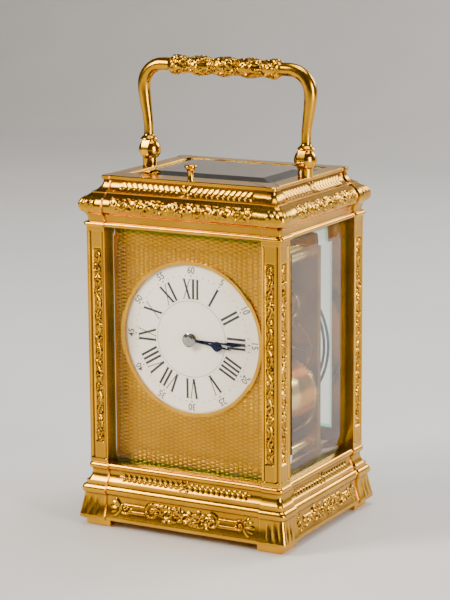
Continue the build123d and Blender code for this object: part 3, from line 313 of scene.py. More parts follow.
def stroke(u, v, line, width):
    """Rounded raised line along a row of points, tapering where width falls."""
    best = np.zeros_like(u)
    line = np.asarray(line, float)
    widths = np.broadcast_to(width, len(line))
    for (a, b, w) in zip(line[:-1], line[1:], (widths[:-1] + widths[1:]) / 2):
        near = (abs(u - (a[0] + b[0]) / 2) < abs(b[0] - a[0]) / 2 + w) & \
               (abs(v - (a[1] + b[1]) / 2) < abs(b[1] - a[1]) / 2 + w)
        if not near.any():
            continue
        pu, pv = u[near] - a[0], v[near] - a[1]
        du, dv = b[0] - a[0], b[1] - a[1]
        t = np.clip((pu * du + pv * dv) / max(du * du + dv * dv, 1e-9), 0, 1)
        away = np.hypot(pu - t * du, pv - t * dv)
        best[near] = np.maximum(best[near], np.sqrt(np.clip(1 - (away / w) ** 2, 0, 1)))
    return best


def scroll(u, v, centre, size, turn, start, width, turns=1.35, side=1):
    """C-scroll: a spiral that winds in to an eye."""
    t = np.linspace(0, 1, 22)
    angle = start + side * turn * t * turns * 2 * math.pi
    radius = size * (1 - 0.8 * t)
    line = np.stack([centre[0] + radius * np.cos(angle), centre[1] + radius * np.sin(angle)], 1)
    body = stroke(u, v, line, width * (1.0 - 0.35 * t))
    eye = np.sqrt(np.clip(1 - ((u - centre[0]) ** 2 + (v - centre[1]) ** 2) / (0.28 * size) ** 2, 0, 1))
    return np.maximum(body, eye)


def leaf(u, v, root, angle, length, width, lobes=3):
    """Pointed leaf with a midrib and a lobed edge."""
    c, s = math.cos(angle), math.sin(angle)
    along = ((u - root[0]) * c + (v - root[1]) * s) / length
    across = (-(u - root[0]) * s + (v - root[1]) * c) / width
    inside = np.clip(along, 0, 1)
    edge = np.sqrt(np.clip(np.sin(math.pi * inside ** 0.8), 0, 1))
    edge = edge * (0.8 + 0.2 * np.abs(np.cos(math.pi * lobes * inside)))
    share = np.abs(across) / np.maximum(edge, 1e-3)
    height = np.clip(1 - share ** 2, 0, 1) * ((along > 0) & (along < 1))
    vein = 0.35 * np.exp(-(across * 5) ** 2)
    return height * (1 - vein) * (0.55 + 0.45 * np.sin(math.pi * inside))


def foliage(u, v, u_range, v_range, seed, pitch=6.0, width=0.42):
    """Running stem with scrolls and leaves on both sides of it."""
    draw = random.Random(seed)
    low, high = v_range
    middle, reach = (low + high) / 2, (high - low) / 2
    count = max(2, round((u_range[1] - u_range[0]) / pitch))
    step = (u_range[1] - u_range[0]) / count
    height = np.zeros_like(u)
    t = np.linspace(0, 1, 14 * count)
    wave = np.stack([u_range[0] + t * (u_range[1] - u_range[0]),
                     middle + 0.45 * reach * np.sin(math.pi * count * t)], 1)
    height = np.maximum(height, stroke(u, v, wave, width))
    for k in range(count):
        side = 1 if k % 2 else -1
        centre = (u_range[0] + (k + 0.5) * step, middle - side * 0.25 * reach)
        height = np.maximum(height, scroll(u, v, centre, 0.62 * reach, side, draw.uniform(0, 1.2), width))
        for _ in range(9):
            angle = draw.uniform(0, 2 * math.pi)
            root = (centre[0] + 0.5 * reach * math.cos(angle), centre[1] + 0.4 * reach * math.sin(angle))
            size = reach * draw.uniform(0.55, 0.95)
            height = np.maximum(height, 0.9 * leaf(u, v, root, angle, size, size * 0.33))
    fade = smooth((u - u_range[0]) / 0.6) * smooth((u_range[1] - u) / 0.6)
    fade = fade * smooth((v - low) / 0.3) * smooth((high - v) / 0.3)
    return height * fade


def garland(u, v, half, v_range, middle_knot=True):
    """Laurel of paired leaves that runs out from a crossing in the middle."""
    low, high = v_range
    centre, reach = (low + high) / 2, (high - low) / 2
    height = stroke(u, v, [(-half, centre), (half, centre)], 0.22)
    step = 2.3
    for k in range(int(half / step)):
        for way in (-1, 1):
            x = way * (2.2 + k * step)
            if abs(x) > half - 1.5:
                continue
            for side in (-1, 1):
                angle = side * 0.62 if way > 0 else math.pi - side * 0.62
                height = np.maximum(height, leaf(u, v, (x, centre), angle, 1.35 * reach, 0.42 * reach, 1))
    if middle_knot:
        for way in (-1, 1):
            strap = [(-1.4, centre - way * reach), (1.4, centre + way * reach)]
            height = np.maximum(height, stroke(u, v, strap, 0.5))
    return height


def cartouche(u, v, half, v_range, seed):
    """Middle panel between two C-scrolls, strap bars beside it, and leaf fans at the ends."""
    low, high = v_range
    centre, reach = (low + high) / 2, (high - low) / 2
    panel = 0.42 * half
    height = foliage(u, v, (-panel, panel), (low + 0.3, high - 0.3), seed, 4.6, 0.38)
    for way in (-1, 1):
        inner_scroll = scroll(u, v, (way * panel, centre), 0.85 * reach, -way, math.pi / 2, 0.55)
        height = np.maximum(height, inner_scroll)
        bar_start, bar_end = way * (panel + 0.9 * reach), way * (half - 1.6 * reach)
        for row in (-0.42, 0.42):
            v_row = centre + row * reach
            height = np.maximum(height, stroke(u, v, [(bar_start, v_row), (bar_end, v_row)], 0.36))
        height = np.maximum(height, scroll(u, v, (bar_end, centre), 0.7 * reach, way, 0.0, 0.48))
        for k in range(5):
            angle = (k - 2) * 0.5 + (0 if way > 0 else math.pi)
            root = (bar_end + way * 0.5 * reach, centre)
            height = np.maximum(height, leaf(u, v, root, angle, 1.15 * reach, 0.3 * reach, 1))
    return height


def stipple(u, v, pitch=0.62):
    """Matted ground of small punched dots."""
    row = np.floor(v / pitch)
    shifted = u + 0.5 * pitch * (row % 2)
    du = (shifted / pitch) % 1 - 0.5
    dv = (v / pitch) % 1 - 0.5
    return np.exp(-(du * du + dv * dv) * 18)


# ------------------------ base and cornice


def arc_points(a, b, c, steps):
    """Points on the arc from a through b to c."""
    (ax, ay), (bx, by), (cx, cy) = a, b, c
    aa, bb, cc = ax * ax + ay * ay, bx * bx + by * by, cx * cx + cy * cy
    d = 2 * (ax * (by - cy) + bx * (cy - ay) + cx * (ay - by))
    ux = (aa * (by - cy) + bb * (cy - ay) + cc * (ay - by)) / d
    uy = (aa * (cx - bx) + bb * (ax - cx) + cc * (bx - ax)) / d
    radius = math.hypot(ax - ux, ay - uy)
    first, middle, last = (math.atan2(y - uy, x - ux) for x, y in (a, b, c))
    turn = (last - first) % (2 * math.pi)
    if (middle - first) % (2 * math.pi) > turn:
        turn -= 2 * math.pi
    angles = [first + turn * k / steps for k in range(1, steps + 1)]
    return [(ux + radius * math.cos(angle), uy + radius * math.sin(angle)) for angle in angles]


# Each moulding step is its end point, or an arc's middle and end: (outwards from the pillar face, height).
BASE_START = (3.3, 3.0)
BASE_STEPS = [[(3.8, 3.5)], [(3.8, 4.5)], [(2.62, 8.5), (2.2, 12.9)], [(3.0, 14.8), (2.2, 16.4)],
              [(1.7, 16.4)], [(1.7, 17.9)], [(1.35, 17.9)], [(0.35, 19.5), (0.0, 22.3)],
              [(0.85, 23.7), (0.0, 25.0)]]
CORNICE_START = (0.0, 117.1)
CORNICE_STEPS = [[(1.2, 118.1), (0.0, 119.1)], [(0.0, 120.0)], [(0.55, 121.7), (1.9, 123.0)],
                 [(2.3, 126.1), (0.1, 128.9)], [(-1.2, 129.9)], [(-1.2, 130.3)],
                 [(-3.5, 131.8), (-4.5, 134.4)], [(-3.9, 135.0)], [(-3.9, 136.0)], [(-4.2, 136.3)]]


def dense_profile(start, steps):
    """Profile points about one cell apart, with the step that each belongs to and its share of that step."""
    points, owner, share = [start], [0], [0.0]
    here = start
    for index, step in enumerate(steps):
        chord = math.dist(here, step[-1])
        count = max(1, math.ceil(chord / CELL))
        if len(step) == 2:
            count = max(count, ARC_CELLS)
            new = arc_points(here, step[0], step[1], count)
        else:
            new = [tuple(np.array(here) + (np.array(step[0]) - np.array(here)) * k / count)
                   for k in range(1, count + 1)]
        points += new
        owner += [index] * len(new)
        share += [k / len(new) for k in range(1, len(new) + 1)]
        here = step[-1]
    return np.array(points), np.array(owner), np.array(share)


BLOCK_COLUMNS = 24               # columns on each face of a corner block
CORNER_COLUMNS = 9               # columns on its rounded corner


def ring_columns():
    """Columns round the case: which side, place along it, share of the corner run, and corner angle."""
    columns = []
    for side in range(4):
        half = BLOCK_X if side % 2 == 0 else BLOCK_Y
        for t in np.linspace(-half, half, int(2 * half / CELL) + 1):
            columns.append((side, "run", t))
        for t in np.linspace(0, 1, BLOCK_COLUMNS)[1:]:
            columns.append((side, "block_out", t))
        for t in np.linspace(0, 1, CORNER_COLUMNS)[1:-1]:
            columns.append((side, "arc", t))
        for t in np.linspace(1, 0, BLOCK_COLUMNS)[:-1]:
            columns.append((side, "block_in", t))
    return columns


def side_frame(side):
    """Direction along a side and outwards from it, going round from the front."""
    along = [(1, 0), (0, 1), (-1, 0), (0, -1)][side]
    out = [(0, -1), (1, 0), (0, 1), (-1, 0)][side]
    return np.array(along, float), np.array(out, float)


def place(column, d):
    """Plan point and outward direction for a column at moulding reach d."""
    side, kind, t = column
    along, out = side_frame(side)
    next_out = side_frame((side + 1) % 4)[1]
    half_along, half_out = (HALF_X, HALF_Y) if side % 2 == 0 else (HALF_Y, HALF_X)
    block = BLOCK_X if side % 2 == 0 else BLOCK_Y
    next_block = BLOCK_Y if side % 2 == 0 else BLOCK_X
    if kind == "run":
        edge = min(1.0, (block - abs(t)) / BREAK_RUN)
        return along * t + out * (half_out - BREAK * edge + d), out
    if kind == "block_out":
        reach = half_along + d - CORNER_R
        return along * (block + t * (reach - block)) + out * (half_out + d), out
    if kind == "block_in":
        reach = half_out + d - CORNER_R
        return next_out * (half_along + d) + out * (next_block + t * (reach - next_block)), next_out
    angle = t * math.pi / 2
    heading = out * math.cos(angle) + along * math.sin(angle)
    middle = along * (half_along + d - CORNER_R) + out * (half_out + d - CORNER_R)
    return middle + heading * CORNER_R, heading


def moulding(start, steps, relief):
    """Swept outer surface: points as (row, column, 3), the rows running up the profile."""
    profile, owner, share = dense_profile(start, steps)
    tangent = np.gradient(profile, axis=0)
    tangent /= np.linalg.norm(tangent, axis=1)[:, None]
    normal = np.stack([tangent[:, 1], -tangent[:, 0]], 1)
    columns = ring_columns()
    points = np.zeros((len(profile), len(columns), 3))
    for j, column in enumerate(columns):
        for i, (d, z) in enumerate(profile):
            plan, heading = place(column, d)
            points[i, j] = (*plan, z)
    lift = relief(columns, profile, owner, share)
    for j, column in enumerate(columns):
        heading = place(column, 0.0)[1]
        for axis in range(2):
            points[:, j, axis] += lift[:, j] * normal[:, 0] * heading[axis]
        points[:, j, 2] += lift[:, j] * normal[:, 1]
    return points


def relief_for(bands, corner_bands):
    """Height function: bands are {step: (ornament, amount)}; the corner blocks get a shell."""

    def relief(columns, profile, owner, share):
        lift = np.zeros((len(profile), len(columns)))
        for step, (ornament, amount) in bands.items():
            rows = np.where(owner == step)[0]
            length = np.linalg.norm(np.diff(profile[rows], axis=0), axis=1)
            v_line = np.concatenate([[0], np.cumsum(length)])
            for side in range(4):
                half = BLOCK_X if side % 2 == 0 else BLOCK_Y
                run = [j for j, c in enumerate(columns) if c[0] == side and c[1] == "run"]
                u_line = np.array([columns[j][2] for j in run])
                u, v = np.meshgrid(u_line, v_line)
                height = ornament(u, v, half, v_line[-1], 11 * step + side)
                lift[np.ix_(rows, run)] += amount * height
        for step, amount in corner_bands.items():
            rows = np.where(owner == step)[0]
            for j, (side, kind, t) in enumerate(columns):
                if kind == "run":
                    continue
                across = {"block_out": t - 1.1, "arc": (t - 0.5) * 0.2, "block_in": 1.1 - t}[kind]
                shape = np.sin(math.pi * share[rows])
                ribs = np.abs(np.cos(across * 9.5)) * (abs(across) < 0.75)
                lift[rows, j] += amount * shape * ribs * (1 - share[rows] * abs(across))
        return lift

    return relief


def plain_ends(ornament, plain=4.5):
    """Leaves the last stretch of a run polished."""

    def shaped(u, v, half, height, seed):
        return ornament(u, v, half - plain, height, seed)

    return shaped


# Each band is {moulding step: (ornament, height of its relief)}.
BASE_BANDS = {
    2: (plain_ends(lambda u, v, half, high, seed: cartouche(u, v, half, (0.5, high - 0.5), seed), 2.5), 0.62),
    7: (plain_ends(lambda u, v, half, high, seed: garland(u, v, half, (0.5, high - 0.6)), 5.0), 0.42),
}
CORNICE_BANDS = {
    3: (plain_ends(lambda u, v, half, high, seed: foliage(u, v, (-half, half), (0.3, high - 0.3), seed,
                                                          3.9, 0.4), 3.2), 0.6),
    6: (plain_ends(lambda u, v, half, high, seed: garland(u, v, half, (0.4, high - 0.5)), 5.0), 0.24),
}
BASE_SHELLS = {2: 0.5}           # {moulding step: height of the corner shell}
CORNICE_SHELLS = {3: 0.45}


def inward_ring(columns, half_x, y_range, z):
    """Ring of points on an inner rectangle, one for each outer column."""
    ring = []
    centre = sum(y_range) / 2
    half_y = (y_range[1] - y_range[0]) / 2
    for column in columns:
        x, y = place(column, 0.0)[0]
        scale = min(half_x / max(abs(x), 1e-6), half_y / max(abs(y - centre), 1e-6))
        ring.append((x * scale, centre + (y - centre) * scale, z))
    return np.array(ring)


def closed_moulding(name, start, steps, relief, inside, stands_for, limits, capped=False):
    """Outer moulding with inner rings. They close into a frame, or are capped by a deck."""
    columns = ring_columns()
    outer = moulding(start, steps, relief)
    low, high = limits
    for axis in range(3):
        outer[..., axis] = np.clip(outer[..., axis], low[axis], high[axis])
    rings = [inward_ring(columns, half_x, y_range, z)[None] for half_x, y_range, z in inside]
    points = np.concatenate(rings + [outer] if capped else [outer] + rings, axis=0)
    rows, count = points.shape[:2]
    faces = grid_faces(rows, count, wrap_rows=not capped, wrap_columns=True).tolist()
    if capped:
        faces += [list(range(count)), list(range((rows - 1) * count, rows * count))]
    make(name, points.reshape(-1, 3), faces, GILT_CUT, "case", "gilt_brass", stands_for, merge=False)


DECK_BOTTOM = 21.0
CAVITY_X, CAVITY_Y = 33.0, 27.0
base_inside = [
    (CAVITY_X, (-CAVITY_Y, CAVITY_Y), DECK_BOTTOM), (CAVITY_X, (-CAVITY_Y, CAVITY_Y), BASE_START[1]),
]
closed_moulding("base_moulding", BASE_START, BASE_STEPS, relief_for(BASE_BANDS, BASE_SHELLS), base_inside,
                ["base_frame"], (BASE_LOW, BASE_HIGH), capped=True)

GLASS_TOP_LOW, GLASS_TOP_HIGH = node_box("top_glass")
REBATE = 0.1
LEDGE = 1.2
SHELF = GLASS_TOP_LOW[2]
POCKET_TOP = 132.7
rebate_y = (GLASS_TOP_LOW[1] - REBATE, GLASS_TOP_HIGH[1] + REBATE)
ledge_y = (GLASS_TOP_LOW[1] + LEDGE, GLASS_TOP_HIGH[1] - LEDGE)
pocket_y = (GLASS_TOP_LOW[1] - LEDGE, GLASS_TOP_HIGH[1] + LEDGE)
cornice_inside = [
    (GLASS_TOP_HIGH[0] + REBATE, rebate_y, TOP_HIGH[2]), (GLASS_TOP_HIGH[0] + REBATE, rebate_y, SHELF),
    (GLASS_TOP_HIGH[0] - LEDGE, ledge_y, SHELF), (GLASS_TOP_HIGH[0] - LEDGE, ledge_y, POCKET_TOP),
    (GLASS_TOP_HIGH[0] + LEDGE, pocket_y, POCKET_TOP), (GLASS_TOP_HIGH[0] + LEDGE, pocket_y, CORNICE_BOTTOM),
]
closed_moulding("cornice_moulding", CORNICE_START, CORNICE_STEPS, relief_for(CORNICE_BANDS, CORNICE_SHELLS),
                cornice_inside, ["top_frame"], (TOP_LOW, TOP_HIGH))

# ------------------------ pillars


PILLAR_CELLS = 28                # cells across each face
FRONT_PANEL = (1.5, 2.6)         # plain margins beside the sunk panel, from the two edges of the face
SIDE_PANEL = (1.4, 2.2)
PANEL_END = 8.0                  # plain length above and below the panel
LEAF_END = 9.0
PANEL_DEPTH = 0.62
PUNCH_DEPTH = 0.16
BEAD_AT, BEAD_HALF, BEAD_DEPTH = 0.95, 0.2, 0.45
HOLLOW_AT, HOLLOW_WIDE, HOLLOW_DEPTH = 2.1, 1.3, 0.55
BLOCK_END = 1.6                  # uncut height at the foot and the head
SHAFT_DEPTH = 0.12               # the whole shaft stands this far behind them


def pillar_section():
    """Closed section of the front right pillar as (x, y, face, place across the face)."""
    x0, x1 = BLOCK_X, HALF_X
    y0, y1 = -HALF_Y, -BLOCK_Y
    section = []
    for t in np.linspace(0, 1, PILLAR_CELLS + 1)[:-1]:
        section.append((x0 + t * (x1 - x0), y0, "front", t))
    for t in np.linspace(0, 1, PILLAR_CELLS + 1)[:-1]:
        section.append((x1, y0 + t * (y1 - y0), "side", t))
    section += [(x1, y1, "back", 0), (x0, y1, "back", 0)]
    return section


def pillar(node, sx, sy, seed):
    """Pillar with a sunk, engraved panel on its two outer faces."""
    section = pillar_section()
    rows = int((CORNICE_BOTTOM - BASE_TOP) / CELL)
    z_line = np.linspace(BASE_TOP, CORNICE_BOTTOM, rows)
    points = np.zeros((rows, len(section), 3))
    for j, (x, y, _, _) in enumerate(section):
        points[:, j] = np.stack([np.full(rows, x), np.full(rows, y), z_line], 1)
    for face, axis, sign, width in (("front", 1, 1, HALF_X - BLOCK_X), ("side", 0, -1, HALF_Y - BLOCK_Y)):
        run = [j for j, s in enumerate(section) if s[2] == face]
        across = np.array([section[j][3] for j in run]) * width
        u, v = np.meshgrid(across, z_line)
        # The panel lies between a thin bead on one edge and a dark hollow and arris on the other.
        bead_margin, hollow_margin = FRONT_PANEL if face == "front" else SIDE_PANEL
        left, right = bead_margin, width - hollow_margin
        ends = smooth((v - BASE_TOP - PANEL_END) / 0.8) * smooth((CORNICE_BOTTOM - PANEL_END - v) / 0.8)
        panel = smooth((u - left) / 0.35) * smooth((right - u) / 0.35) * ends
        leaf_run = (BASE_TOP + LEAF_END, CORNICE_BOTTOM - LEAF_END)
        leaves = foliage(v, u, leaf_run, (left + 0.1, right - 0.1), seed, 4.5, 0.36)
        cut = PANEL_DEPTH * panel * (1 - leaves) + PUNCH_DEPTH * panel * stipple(u, v) * (1 - leaves)
        cut = cut + BEAD_DEPTH * np.exp(-((u - BEAD_AT) / BEAD_HALF) ** 2)
        hollow = np.clip((u - (width - HOLLOW_AT)) / HOLLOW_WIDE, 0, 1)
        cut = cut + HOLLOW_DEPTH * np.sin(math.pi * hollow) * ((hollow > 0) & (hollow < 1))
        shaft = smooth((v - BASE_TOP - BLOCK_END) / 0.3) * smooth((CORNICE_BOTTOM - BLOCK_END - v) / 0.3)
        cut = cut * shaft + SHAFT_DEPTH * shaft
        points[:, run, axis] += sign * cut
    points[..., 0] *= sx
    points[..., 1] *= -sy
    flat = points.reshape(-1, 3)
    count = len(section)
    faces = grid_faces(rows, count, wrap_columns=True).tolist()
    faces += [list(range(count)), list(range((rows - 1) * count, rows * count))]
    make("cut_" + node, flat, faces, GILT_CUT, "case", "gilt_brass", [node])


for number, (side_name, sx) in enumerate((("left", -1), ("right", 1))):
    pillar(f"pillar_front_{side_name}", sx, -1, 30 + number)
    pillar(f"pillar_rear_{side_name}", sx, 1, 40 + number)

# ------------------------ handle

HANDLE_TOP = node_box("handle")[1][2]
PINS_LOW, PINS_HIGH = node_box("handle_pins")
POST_LOW, POST_HIGH = node_box("handle_post_right")
PIVOT_X = (POST_LOW[0] + POST_HIGH[0]) / 2
PIVOT_Z = (PINS_LOW[2] + PINS_HIGH[2]) / 2
GRIP_R = 4.2
GRIP_HALF = 24.5
GRIP_Z = HANDLE_TOP - GRIP_R
SHOULDER_X = 35.85
SHOULDER_R = 8.55
LEG_LINE = [(PIVOT_X + 0.3, PIVOT_Z + 3.0), (PIVOT_X + 0.35, PIVOT_Z + 6.0), (34.1, 152.5), (34.7, 157.0),
            (35.4, 161.5), (35.8, 165.0)]
SHOULDER_START = 165.2           # height at which the leg stands upright
LEG_R = 1.85
COLLAR_R, COLLAR_AT = 1.5, 4.2   # swelling low on the leg, and its height over the pivot
BULGE_PITCH = 10.6
AROUND_HANDLE = 72
LEAF_RELIEF, LEAF_GROUND = 0.5, 0.3
TONGUE_R, TONGUE_HALF, PIN_BORE = 4.2, 1.45, 1.0
TONGUE_TOP = [(-TONGUE_R, 1.5), (-2.2, 4.6), (2.2, 4.6), (TONGUE_R, 1.5)]


def handle_route():
    """Middle line of the whole handle, from the right pivot over the grip to the left one."""
    line = []
    for a, b in zip(LEG_LINE[:-1], LEG_LINE[1:]):
        line += [tuple(np.array(a) + (np.array(b) - np.array(a)) * k / 10) for k in range(10)]
    corner = (SHOULDER_X - SHOULDER_R, GRIP_Z - SHOULDER_R)
    line += [(SHOULDER_X, z) for z in np.linspace(SHOULDER_START, corner[1], 5)]
    for k in range(1, 25):
        angle = k / 24 * math.pi / 2
        line.append((corner[0] + SHOULDER_R * math.cos(angle), corner[1] + SHOULDER_R * math.sin(angle)))
    line += [(x, GRIP_Z) for x in np.linspace(corner[0], 0, 100)[1:]]
    line = np.array(line)
    for _ in range(3):
        line[1:-1] = (line[:-2] + 2 * line[1:-1] + line[2:]) / 4
    mirrored = line[::-1][1:] * (-1, 1)
    return np.concatenate([line, mirrored])


def handle_radius(x, z):
    """Thin legs that thicken to the shoulder, a flared collar low down and five bulges on the grip."""
    leg = LEG_R + 0.75 * smooth((z - 150) / 22)
    collar = COLLAR_R * math.exp(-((z - PIVOT_Z - COLLAR_AT) / 1.0) ** 2)
    if z < GRIP_Z - 0.6 or abs(x) > GRIP_HALF:
        return leg + collar
    bulge = abs(math.cos(math.pi * x / BULGE_PITCH))
    ends = smooth((GRIP_HALF - abs(x)) / 2.5)
    return leg + (0.35 + 0.95 * bulge ** 0.8) * ends


def handle():
    """Whole casting: two legs, the leafy grip and the two tongues."""
    route = handle_route()
    around = AROUND_HANDLE
    tangent = np.gradient(route, axis=0)
    tangent /= np.linalg.norm(tangent, axis=1)[:, None]
    theta = np.linspace(0, 2 * math.pi, around, endpoint=False)
    radius = np.array([handle_radius(x, z) for x, z in route])
    u, v = np.meshgrid(route[:, 0], theta * GRIP_R, indexing="ij")
    pattern = np.zeros_like(u)
    quarter = GRIP_R * math.pi / 2
    for row in range(4):
        low = row * GRIP_R * math.pi / 2
        band = foliage(u, v, (-GRIP_HALF + 0.5, GRIP_HALF - 0.5), (low, low + quarter), 60 + row, 5.3, 0.4)
        pattern = np.maximum(pattern, band)
    on_grip = (smooth((GRIP_HALF - abs(route[:, 0])) / 1.5) * (route[:, 1] > GRIP_Z - 0.6))[:, None]
    thick = radius[:, None] + on_grip * (LEAF_RELIEF * pattern - LEAF_GROUND)
    thick = np.minimum(thick, GRIP_R)
    normal = np.stack([-tangent[:, 1], tangent[:, 0]], 1)
    points = np.zeros((len(route), around, 3))
    points[..., 0] = route[:, 0, None] + thick * np.cos(theta) * normal[:, 0, None]
    points[..., 2] = route[:, 1, None] + thick * np.cos(theta) * normal[:, 1, None]
    points[..., 1] = thick * np.sin(theta)
    faces = grid_faces(len(route), around, wrap_columns=True).tolist()
    last = len(route) * around
    faces += [list(range(around)), list(range(last - around, last))]
    shapes = [(points.reshape(-1, 3), faces), tongue(-1), tongue(1)]
    make("cast_handle", *join(*shapes), GILT_CUT, "handle", "gilt_brass", ["handle"])


def tongue(sx):
    """Flat tongue in the ball's slot, round below and square above."""
    half_turn = np.linspace(-math.pi / 2, math.pi / 2, 25)
    outline = [(-TONGUE_R * math.sin(a), -TONGUE_R * math.cos(a)) for a in half_turn] + TONGUE_TOP
    count = len(outline)
    points = []
    for x in (-TONGUE_HALF, TONGUE_HALF):
        points += [(sx * PIVOT_X + x, y, PIVOT_Z + z) for y, z in outline]
        points += [(sx * PIVOT_X + x, PIN_BORE * math.cos(a), PIVOT_Z + PIN_BORE * math.sin(a))
                   for a in np.linspace(0, 2 * math.pi, count, endpoint=False)]
    # The outline and the bore have the same number of points, matched by angle.
    angles = [math.atan2(z, y) for y, z in outline]
    order = sorted(range(count), key=lambda k: angles[k])
    bore_angle = [(2 * math.pi * k / count + math.pi) % (2 * math.pi) - math.pi for k in range(count)]
    bore_order = sorted(range(count), key=lambda k: bore_angle[k])
    layer = 2 * count
    faces = []
    for k in range(count):
        a, b = order[k], order[(k + 1) % count]
        c, d = count + bore_order[k], count + bore_order[(k + 1) % count]
        faces += [(a, b, d, c), (a + layer, c + layer, d + layer, b + layer)]
        faces += [(a, a + layer, b + layer, b), (c, d, d + layer, c + layer)]
    return points, faces


handle()

# ------------------------ dial mask


MASK_CELL = 0.25                 # mesh cell of the mask
WEAVE = 0.22                     # depth of the engine turning
WEAVE_WIDE, WEAVE_HIGH = 2.0, 1.5
MASK_THICK = 1.0
MASK_HOLE_R = 29.2
MASK_BORDER = 8.6                # the plain border reaches this far in from the case's side
MASK_GAP = 0.02


def basket(x, z):
    """Engine-turned basket weave: crowned cells in columns that are half a cell out of step."""
    column = np.floor(x / WEAVE_WIDE)
    fx = (x / WEAVE_WIDE) % 1 - 0.5
    fz = ((z / WEAVE_HIGH) + 0.5 * (column % 2)) % 1 - 0.5
    return (1 - (2 * fx) ** 4) * (1 - (2 * fz) ** 2)


def dial_mask():
    """Woven plate with the round hole for the dial."""
    columns = int((MASK_HIGH[0] - MASK_LOW[0]) / MASK_CELL) + 1
    rows = int((MASK_HIGH[2] - MASK_LOW[2]) / MASK_CELL) + 1
    x_line = np.linspace(MASK_LOW[0], MASK_HIGH[0], columns)
    z_line = np.linspace(MASK_LOW[2], MASK_HIGH[2], rows)
    x, z = np.meshgrid(x_line, z_line)
    face = MASK_LOW[1] + MASK_GAP
    border = smooth((HALF_X - MASK_BORDER - abs(x)) / 0.3)
    y = face + WEAVE * (1 - basket(x, z) * border)
    away = np.hypot(x, z - DIAL_Z)
    inside = away < MASK_HOLE_R
    scale = np.where(inside, MASK_HOLE_R / np.maximum(away, 1e-6), 1.0)
    points = np.stack([x * scale, y, DIAL_Z + (z - DIAL_Z) * scale], -1).reshape(-1, 3)
    quads = grid_faces(rows, columns)
    quads = quads[~inside.reshape(-1)[quads].all(axis=1)]
    mesh = bpy.data.meshes.new("engine_turned_mask")
    mesh.from_pydata((points * MM).tolist(), [], quads.tolist())
    work = bmesh.new()
    work.from_mesh(mesh)
    loose = [v for v in work.verts if not v.link_faces]
    bmesh.ops.delete(work, geom=loose, context="VERTS")
    rim = [e for e in work.edges if e.is_boundary]
    grown = bmesh.ops.extrude_edge_only(work, edges=rim)["geom"]
    for v in grown:
        if isinstance(v, bmesh.types.BMVert):
            v.co.y = (face + MASK_THICK) * MM
    back = [e for e in grown if isinstance(e, bmesh.types.BMEdge) and e.is_boundary]
    bmesh.ops.triangle_fill(work, edges=back, use_beauty=False)
    bmesh.ops.recalc_face_normals(work, faces=work.faces)
    finish_piece(work, mesh, GILT_MATT, "case", ["dial_mask"], 50.0)


dial_mask()

# ------------------------ dial, numerals and hands

DOME = 0.35                      # how far the middle of the enamel stands forward of its edge
ENAMEL_R = (DIAL_HIGH[2] - DIAL_LOW[2]) / 2
INK_PROUD = 0.03
HOUR_BORE = 2.2
AROUND_DIAL = 128


def enamel_y(radius):
    """Depth of the domed enamel at a distance from its middle."""
    return DIAL_FACE + DOME * (np.asarray(radius) / ENAMEL_R) ** 2


def enamel():
    """Domed disc with a rounded edge, bored for the hour pipe."""
    rings = [(r, float(enamel_y(r))) for r in np.linspace(HOUR_BORE, ENAMEL_R - 0.3, 26)]
    rings += [(ENAMEL_R, float(enamel_y(ENAMEL_R)) + 0.25), (ENAMEL_R, DIAL_HIGH[1])]
    rings += [(HOUR_BORE, DIAL_HIGH[1])]
    points = [(r * math.cos(a), y, DIAL_Z + r * math.sin(a))
              for r, y in rings for a in turn_steps(AROUND_DIAL)]
    faces = grid_faces(len(rings), AROUND_DIAL, True, True)
    make("domed_dial", points, faces, ENAMEL, "case", "enamel", ["dial"], 60.0)


def laid(outline_points, thickness=INK_PROUD, bottom=0.02):
    """Thin plate over the dome from a row of (left, right) pairs of plan points."""
    points, faces = [], []
    for left, right in outline_points:
        for x, z in (left, right):
            y = float(enamel_y(math.hypot(x, z)))
            points += [(x, y - thickness, DIAL_Z + z), (x, y + bottom, DIAL_Z + z)]
    rows = len(outline_points)
    for k in range(rows - 1):
        a, b = 4 * k, 4 * (k + 1)
        faces += [(a, b, b + 2, a + 2), (a + 1, a + 3, b + 3, b + 1)]
        faces += [(a, a + 1, b + 1, b), (a + 2, b + 2, b + 3, a + 3)]
    last = 4 * (rows - 1)
    faces += [(0, 2, 3, 1), (last, last + 1, last + 3, last + 2)]
    return points, faces


def turned(x, r, angle):
    """Plan point at x across and r out from the dial's middle, turned clockwise from twelve."""
    c, s = math.cos(angle), math.sin(angle)
    return (x * c + r * s, -x * s + r * c)


NUMERAL = (15.4, 22.9)           # inner and outer radius of the hour numerals
HEAVY, LIGHT = 0.46, 0.17        # half widths of thick and thin strokes
STROKE_STEPS = 7
SERIF_OVER, SERIF_HALF = 0.3, 0.09
LETTER_WIDTH = {"I": 1.8, "V": 3.7, "X": 3.7}
HOURS = ("I", "II", "III", "IIII", "V", "VI", "VII", "VIII", "IX", "X", "XI", "XII")
FIGURE_R, FIGURE_SIZE, FIGURE_WEIGHT, FIGURE_NARROW = 26.35, 3.7, 0.035, 0.86
DOT_R, FIVE_DOT, DOT = 24.2, 0.3, 0.19
RING_R, RING_HALF = 14.6, 0.07
HAND_RIDGE = 0.12
HAND_BOSS_R = 2.3
HOUR_ANGLE, MINUTE_ANGLE = math.radians(97.5), math.radians(90)


